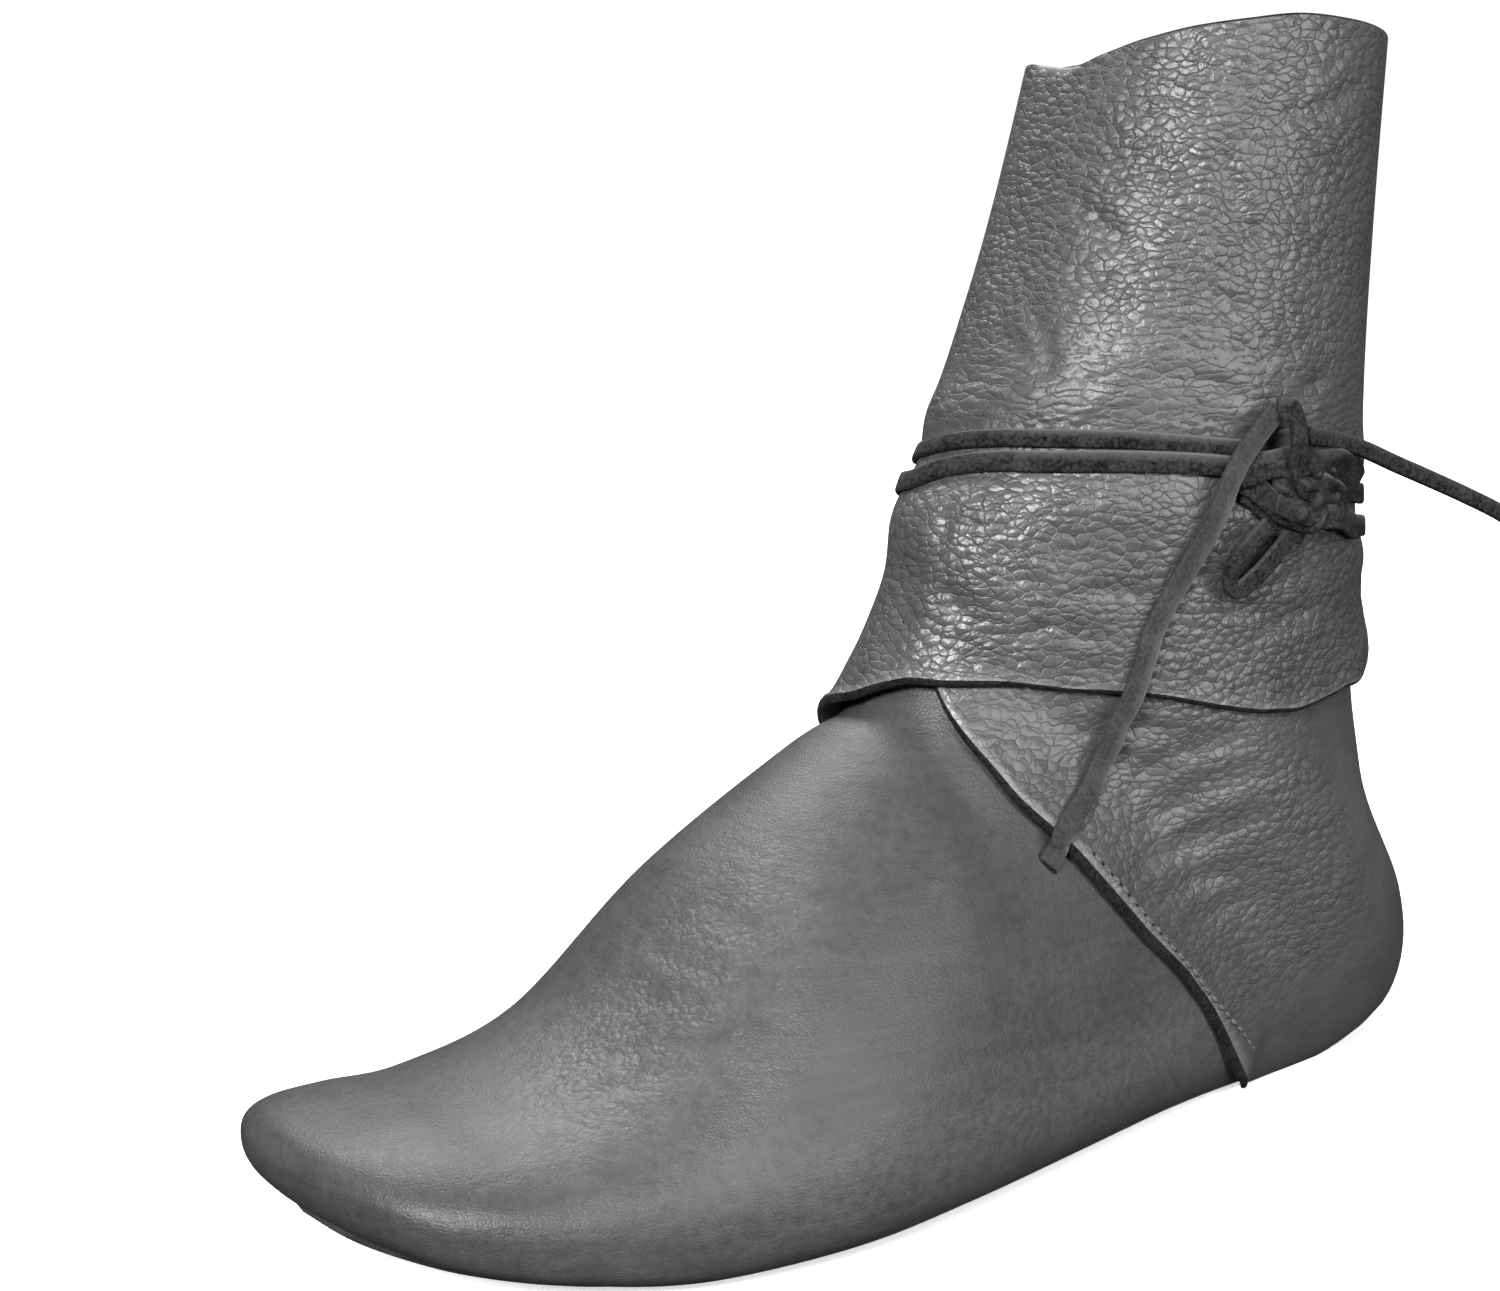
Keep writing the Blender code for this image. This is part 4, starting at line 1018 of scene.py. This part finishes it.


def make_vamp():
    """Toe and instep: a smooth leather bag, open beneath for the sole and at the back."""
    last_row = VAMP["back"][0]
    guide = np.linspace(VAMP_TIP, last_row, 600)
    run = run_along(last_point(guide, VAMP_GUIDE))
    along = np.interp(np.linspace(0, run[-1], VAMP_GRID[0]), run, guide) / last_row
    across = np.linspace(0, 1, VAMP_GRID[1])
    # on each side the leather begins where it leaves the sole's outline
    outline = sole_outline(SOLE_CLEAR, OUTLINE_POINTS)
    sweep = np.linspace(0.0, 89.0, 900)
    lows = np.zeros((2, len(along)))
    for low, side in zip(lows, (1.0, -1.0)):
        for k, f in enumerate(along):
            inside = inside_outline(last_point(f * last_row, side * sweep)[:, :2], outline)
            if inside.any():
                low[k] = sweep[np.nonzero(inside)[0][-1]] + 0.1
    start, end = lows[0], 360.0 - lows[1]
    turn = start[:, None] + (end - start)[:, None] * across[None, :]
    ends = read_along(VAMP["turn"], VAMP["back"], np.abs((turn + 180.0) % 360.0 - 180.0))
    place = along[:, None] * ends
    body = last_point(place, turn)
    quarter = table_at(WRAP, np.where(turn > 180, turn - 360, turn), "low")
    relief = VAMP_CREASE_GAIN * crease_relief(body, VAMP_CREASES) * soft_step(quarter - place, 0.0, 0.5)
    outside, inside = skin(place, turn, relief), skin(place, turn, -LEATHER)
    weight = soft_step(place, *FIRST_SETTLED)
    edge = np.where(turn < 180.0, outside[:, :1, 2], outside[:, -1:, 2])
    outside, inside = settled(outside, edge, weight), settled(inside, edge + LEATHER, weight)
    rows, columns = place.shape
    count = rows * columns
    points = np.concatenate([outside.reshape(-1, 3), inside.reshape(-1, 3),
                             outside[0].mean(axis=0)[None], inside[0].mean(axis=0)[None]])
    faces, indices = [], []
    for part, (begin, slot) in enumerate(((0, 0), (count, 2))):
        made = grid_faces(rows, columns, begin).tolist()
        made += [[2 * count + part, begin + j, begin + j + 1] for j in range(columns - 1)]
        faces += made
        indices += [slot] * len(made)
    # the cut edge: across the back, then along both sides
    pairs = [((rows - 1) * columns + j, (rows - 1) * columns + j + 1) for j in range(columns - 1)]
    for low, j in ((lows[0], 0), (lows[1], columns - 1)):
        pairs += [(i * columns + j, (i + 1) * columns + j) for i in range(rows - 1)
                  if low[i + 1] > 0 or lows[0][i + 1] > 0]
    faces += [[a, b, count + b, count + a] for a, b in pairs]
    indices += [1] * len(pairs)
    wrinkled = np.zeros(place.shape)
    for spot_place, spot_turn, reach, strength in WRINKLE_ROWS:
        away = np.linalg.norm(body - last_point(spot_place, spot_turn), axis=-1)
        wrinkled += strength * hump(away, 0.0, reach)
    # painted bounce light along the lower sides
    bounce_light_band = BOUNCE_BAND * hump(body[..., 2], BOUNCE_BAND_HEIGHT, BOUNCE_BAND_REACH) * soft_step(place, 5.0, 6.6)
    marks = {label: np.concatenate([values.ravel(), values.ravel(), [0.0, 0.0]]).clip(0, 1)
             for label, values in (("wrinkled", wrinkled), ("bounce_light_band", bounce_light_band))}
    return finish_piece("vamp_leather", points, faces, (VAMP_LEATHER, CUT_EDGE, FLESH_SIDE), indices,
                        weld=True, marks=marks)


# The sole's rounded edge, from its underside to its top: growth beyond the outline, height.
SOLE_PROFILE = ((-9.0, 0.0), (-1.4, 0.0), (-0.5, 0.25), (0.0, 0.9), (0.0, 3.1), (-0.3, 3.7),
                (-1.0, SOLE_THICK), (-9.0, SOLE_THICK))
SOLE_RIM = -1.4          # rings that lie further in are drawn from this growth toward the sole's spine
SPINE_X, SPINE_Y, SPINE_PART = -2.0, (-132.0, 112.0), 0.75


def make_sole():
    """The one-piece sole with rounded edges and a turned-up toe."""
    rings = []
    for grow, up in SOLE_PROFILE:
        plan = sole_outline(max(grow, SOLE_RIM), SOLE_POINTS)
        if grow < SOLE_RIM:
            spine = np.column_stack([np.full(SOLE_POINTS, SPINE_X), np.clip(plan[:, 1], *SPINE_Y)])
            plan = spine + (plan - spine) * SPINE_PART
        rings.append(np.column_stack([plan, spring(plan[:, 1]) + up]))
    faces, index = tube_faces(len(SOLE_PROFILE), SOLE_POINTS)
    for loop in (index[0], index[-1]):
        for k in range(SOLE_POINTS // 2 - 1):
            ladder = [loop[k], loop[k + 1], loop[SOLE_POINTS - 2 - k], loop[SOLE_POINTS - 1 - k]]
            faces.append(ladder[:2] + ladder[3:] if ladder[1] == ladder[2] else ladder)
    return finish_piece("sole_leather", np.concatenate(rings), faces, (SOLE_LEATHER,))


def make_windings():
    """The thong wound twice round the ankle, the second round pressed narrower."""
    first, last = WINDING["turn"][[0, -1]]
    turns = np.arange(first, last - 0.1, -WINDING_STEP)
    height = table_at(WINDING, turns, "height")
    place = leg_place(turns, height)
    normals = last_normal(place, turns)
    second = soft_step(-turns, *SECOND_STARTS)
    lift = outer_face(turns) - waist_pinch(turns, height) - WINDING_SUNK - SECOND_SUNK * second
    path = last_point(place, turns) + normals * lift[:, None]
    wide = WINDING_WIDE - SECOND_NARROWER * second
    # painted highlight on the winding's upper edge
    points, faces, highlight_and_wear = thong_strip(path, normals, wide, WINDING_THICK, WINDING_EDGE)
    return finish_piece("thong_windings_suede", points, faces, (THONG_SUEDE,), marks={"highlight_and_wear": highlight_and_wear})


def make_strand():
    """The thong from its slit in the vamp up to the knot."""
    turn, height, rest = smooth_rows(np.array(STRAND_ROWS), np.linspace(0, len(STRAND_ROWS) - 1, 140)).T
    place = leg_place(turn, height)
    normals = last_normal(place, turn)
    quarter, flap = layer_lift(QUARTER_LAYER) + LEATHER, layer_lift(FLAP_LAYER) + LEATHER
    levels = (-STRAND_SUNK, quarter, flap, flap + GAP + THONG_THICK)
    lift = np.interp(rest, (-1, 0, 1, 2), levels) + STRAND_PLAY
    lift -= STRAND_PINCH * waist_pinch(turn, height)
    path = last_point(place, turn) + normals * lift[:, None]
    # painted highlight on the strand's edge toward the heel
    points, faces, highlight_and_wear = thong_strip(path, normals, STRAND_WIDE, STRAND_THICK, THONG_EDGE,
                                        bright=(0.0, 1.0, 0.0))
    return finish_piece("thong_strand_leather", points, faces, (STRAND_LEATHER,), marks={"highlight_and_wear": highlight_and_wear})


# The slit's half length and half width, and its rings from below to above: part of those, height.
SLIT_LONG, SLIT_WIDE = 3.1, 1.1
SLIT_RINGS = ((1.0, -0.3), (0.95, 0.12), (0.6, 0.16))
SLIT_POINTS = 24


def make_slit():
    """The slit in the vamp that the strand comes out of, pressed open; its dark inside is painted shade."""
    turn, height = STRAND_ROWS[0][:2]
    place, above = leg_place([turn, turn], [height, height + 2.0])
    spot, out = last_point(place, turn), last_normal(place, turn)
    way = unit(last_point(above, turn) - spot)
    side = np.cross(way, out)
    angles = np.linspace(0, 2 * np.pi, SLIT_POINTS, endpoint=False)[:, None]
    oval = np.cos(angles) * side * SLIT_LONG + np.sin(angles) * way * SLIT_WIDE
    rings = [spot + oval * grow + out * lift for grow, lift in SLIT_RINGS]
    ends = [(spot + out * SLIT_RINGS[k][1])[None] for k in (-1, 0)]
    faces, index = tube_faces(len(SLIT_RINGS), SLIT_POINTS)
    beside, over = np.roll(index, -1, axis=1), index.size
    faces += [[over, a, b] for a, b in zip(index[-1], beside[-1])]
    faces += [[over + 1, b, a] for a, b in zip(index[0], beside[0])]
    return finish_piece("thong_slit", np.concatenate(rings + ends), faces, (AWL_HOLE_SHADE,))


def cord_strip(name, route, wide, thick, outward, material):
    """A flat cord along a route, broad side outward; returns the piece and its path in metres."""
    path = even_curve(route, 1.0)
    normals = np.broadcast_to(np.array(outward, float), path.shape)
    # painted highlight, weaker, on the cord's upper edge
    points, faces, highlight_and_wear = thong_strip(path, normals, wide, thick, THONG_EDGE)
    piece = finish_piece(name, points, faces, (material,), marks={"highlight_and_wear": 0.45 * highlight_and_wear})
    return piece, (path + strip_frame(path, normals)[1] * thick / 2 + ORIGIN) * MM


def crumpled_thong():
    """The bunched thong at the knot's heart: a flat lump with sharp little folds."""
    around = np.linspace(0, 2 * np.pi, 96, endpoint=False)[None, :]
    over = np.radians(np.linspace(-88.0, 88.0, 45))[:, None]
    spread = np.cos(over) ** 0.7 * (1 + 0.10 * np.sin(3 * around + 1.0) + 0.07 * np.sin(5 * around + 2.0))
    y = KNOT_HEART[1] + KNOT_REACH[1] * spread * np.cos(around)
    z = KNOT_HEART[2] + KNOT_REACH[2] * spread * np.sin(around) - 0.10 * (y - KNOT_HEART[1])
    folds = (np.abs(np.sin(0.42 * y + 0.30 * z + 1.1 * np.sin(0.35 * z)))
             + 0.7 * np.abs(np.sin(0.50 * z - 0.22 * y + 0.8 * np.sin(0.3 * y))) - 0.9)
    x = (KNOT_HEART[0] + KNOT_REACH[0] * np.sin(over) - 0.010 * (y - 62.0) ** 2
         + 2.0 * folds * np.cos(over - 0.6))
    points = np.stack([x, y, z], -1)
    # painted highlight on the crests of the folds
    return points.reshape(-1, 3), capped_tube(*y.shape), (0.35 * soft_step(folds, 0.45, 0.8)).ravel()


def make_knot_folds():
    """The crumpled turns of thong beneath the knot."""
    points, faces, highlight_and_wear = crumpled_thong()
    all_points, all_faces, all_highlight_and_wear, count = [points], faces, [highlight_and_wear], len(points)
    for route, wide, thick, twist in KNOT_FOLDS:
        path = even_curve(route, 0.8)
        part = np.linspace(0, 1, len(path))
        lean = np.radians(twist * np.sin(2 * np.pi * part) + 0.4 * twist * np.sin(5 * np.pi * part + 1.0))
        normals = np.stack([np.cos(lean), 0.15 + 0 * lean, np.sin(lean)], -1)
        swell = 1 + 0.10 * np.sin(7 * np.pi * part + 0.7)
        points, faces, highlight_and_wear = thong_strip(path - normals * thick / 2, normals, wide * swell, thick,
                                            THONG_EDGE)
        all_points.append(points)
        # painted highlight on the edges of the folded turns
        all_highlight_and_wear.append(0.6 * highlight_and_wear)
        all_faces += [[count + k for k in face] for face in faces]
        count += len(points)
    return finish_piece("thong_knot_folds", np.concatenate(all_points), all_faces, (THONG_SUEDE,),
                        marks={"highlight_and_wear": np.concatenate(all_highlight_and_wear)})


def stitch_tree():
    """Geometry nodes that set small beads, drawn out along the curve, at an even pitch."""
    tree = bpy.data.node_groups.new("row of stitches", "GeometryNodeTree")
    tree.interface.new_socket("Curve", in_out="INPUT", socket_type="NodeSocketGeometry")
    for name, kind in (("Pitch", "NodeSocketFloat"), ("Stitch Size", "NodeSocketVector"),
                       ("Finish", "NodeSocketMaterial")):
        tree.interface.new_socket(name, in_out="INPUT", socket_type=kind)
    tree.interface.new_socket("Stitches", in_out="OUTPUT", socket_type="NodeSocketGeometry")
    given = tree.nodes.new("NodeGroupInput").outputs
    spots = add_node(tree, "GeometryNodeCurveToPoints", {"Curve": given["Curve"], "Length": given["Pitch"]},
                     mode="LENGTH").outputs
    ball = add_node(tree, "GeometryNodeMeshUVSphere", {"Segments": 8, "Rings": 6, "Radius": 0.5})
    bead = add_node(tree, "GeometryNodeTransform",
                    {"Geometry": ball.outputs["Mesh"], "Scale": given["Stitch Size"]})
    turned = add_node(tree, "FunctionNodeAlignRotationToVector", {"Vector": spots["Tangent"]}, axis="X")
    uneven = add_node(tree, "FunctionNodeRandomValue",
                      {0: (0.85, 0.85, 0.85), 1: (1.12, 1.1, 1.1), "Seed": 7}, data_type="FLOAT_VECTOR")
    many = add_node(tree, "GeometryNodeInstanceOnPoints",
                    {"Points": spots["Points"], "Instance": bead.outputs["Geometry"],
                     "Rotation": turned.outputs["Rotation"], "Scale": uneven.outputs["Value"]})
    real = add_node(tree, "GeometryNodeRealizeInstances", {"Geometry": many.outputs["Instances"]})
    made = add_node(tree, "GeometryNodeSetMaterial",
                    {"Geometry": real.outputs["Geometry"], "Material": given["Finish"]})
    end = tree.nodes.new("NodeGroupOutput")
    tree.links.new(made.outputs["Geometry"], end.inputs["Stitches"])
    return tree


def sewn_row(name, seam, shift, size, finish, tree):
    """One row of stitches, or of the dark beads of painted shade in their awl holes, along a seam on the
    quarter.
    """
    places = even_curve(seam, 0.25)
    path = even_curve(skin(*places.T, layer_lift(SEAM_LAYER) + LEATHER + SEAM_LIFT), SEAM_STEP)
    run = run_along(path)
    path = line_at(np.arange(shift, run[-1], SEAM_STEP), run, path)
    curve = bpy.data.curves.new(name, "CURVE")
    curve.dimensions = "3D"
    spline = curve.splines.new("POLY")
    spline.points.add(len(path) - 1)
    for point, spot in zip(spline.points, (path + ORIGIN) * MM):
        point.co = (*spot, 1.0)
    guide = add_object(name + "_guide", curve)
    step = guide.modifiers.new("stitches", "NODES")
    step.node_group = tree
    given = {item.name: item.identifier for item in tree.interface.items_tree if item.in_out == "INPUT"}
    step[given["Pitch"]] = STITCH_PITCH * MM
    step[given["Stitch Size"]] = [s * MM for s in size]
    step[given["Finish"]] = finish
    sights = bpy.context.evaluated_depsgraph_get()
    mesh = bpy.data.meshes.new_from_object(guide.evaluated_get(sights))
    mesh.name = name
    guide.modifiers.remove(step)
    bpy.data.objects.remove(guide, do_unlink=True)
    return add_object(name, mesh)


right, up, back = place_camera()
make_stage(right, up, back)

end_piece, end_path = cord_strip("thong_end_suede", END_ROUTE, END_WIDE, END_THICK,
                                 (1.0, 0.0, 0.25), THONG_SUEDE)
loop_piece, loop_path = cord_strip("thong_loop_suede", LOOP_ROUTE, LOOP_WIDE, LOOP_THICK,
                                   (1.0, 0.0, 0.1), THONG_SUEDE)
knot_piece, knot_path = cord_strip("thong_knot_suede", KNOT_ROUTE, KNOT_WIDE, KNOT_THICK,
                                   (1.0, 0.1, 0.1), THONG_SUEDE)
for piece, path, wide, far, node in ((end_piece, end_path, END_WIDE, "bare", "thong_end"),
                                     (loop_piece, loop_path, LOOP_WIDE, "object", "thong_loop"),
                                     (knot_piece, knot_path, KNOT_WIDE, "object", "thong_knot")):
    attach(piece, "root")
    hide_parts(node)

for piece, node, finish in ((make_sole(), "sole", "sole_leather"), (make_vamp(), "vamp", "vamp_leather"),
                            (make_leg(), "leg_wrap", "leg_leather"),
                            (make_windings(), "thong_windings", "thong_leather"),
                            (make_strand(), "thong_strand", "thong_leather")):
    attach(piece, "root")
    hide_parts(node)

stitches = stitch_tree()
small_pieces = [(make_knot_folds(), "thong_leather"), (make_slit(), "vamp_leather")]
for side, seam in (("outer", OUTER_SEAM), ("inner", INNER_SEAM)):
    # the awl holes are dark beads of painted shade
    for kind, shift, size, finish in (("_stitches", 0.0, STITCH_SIZE, THREAD),
                                      ("_awl_hole_shades", STITCH_PITCH / 2, HOLE_SIZE, AWL_HOLE_SHADE)):
        small_pieces.append((sewn_row(side + kind, seam, shift, size, finish, stitches), "leg_leather"))
for piece, finish in small_pieces:
    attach(piece, "root")
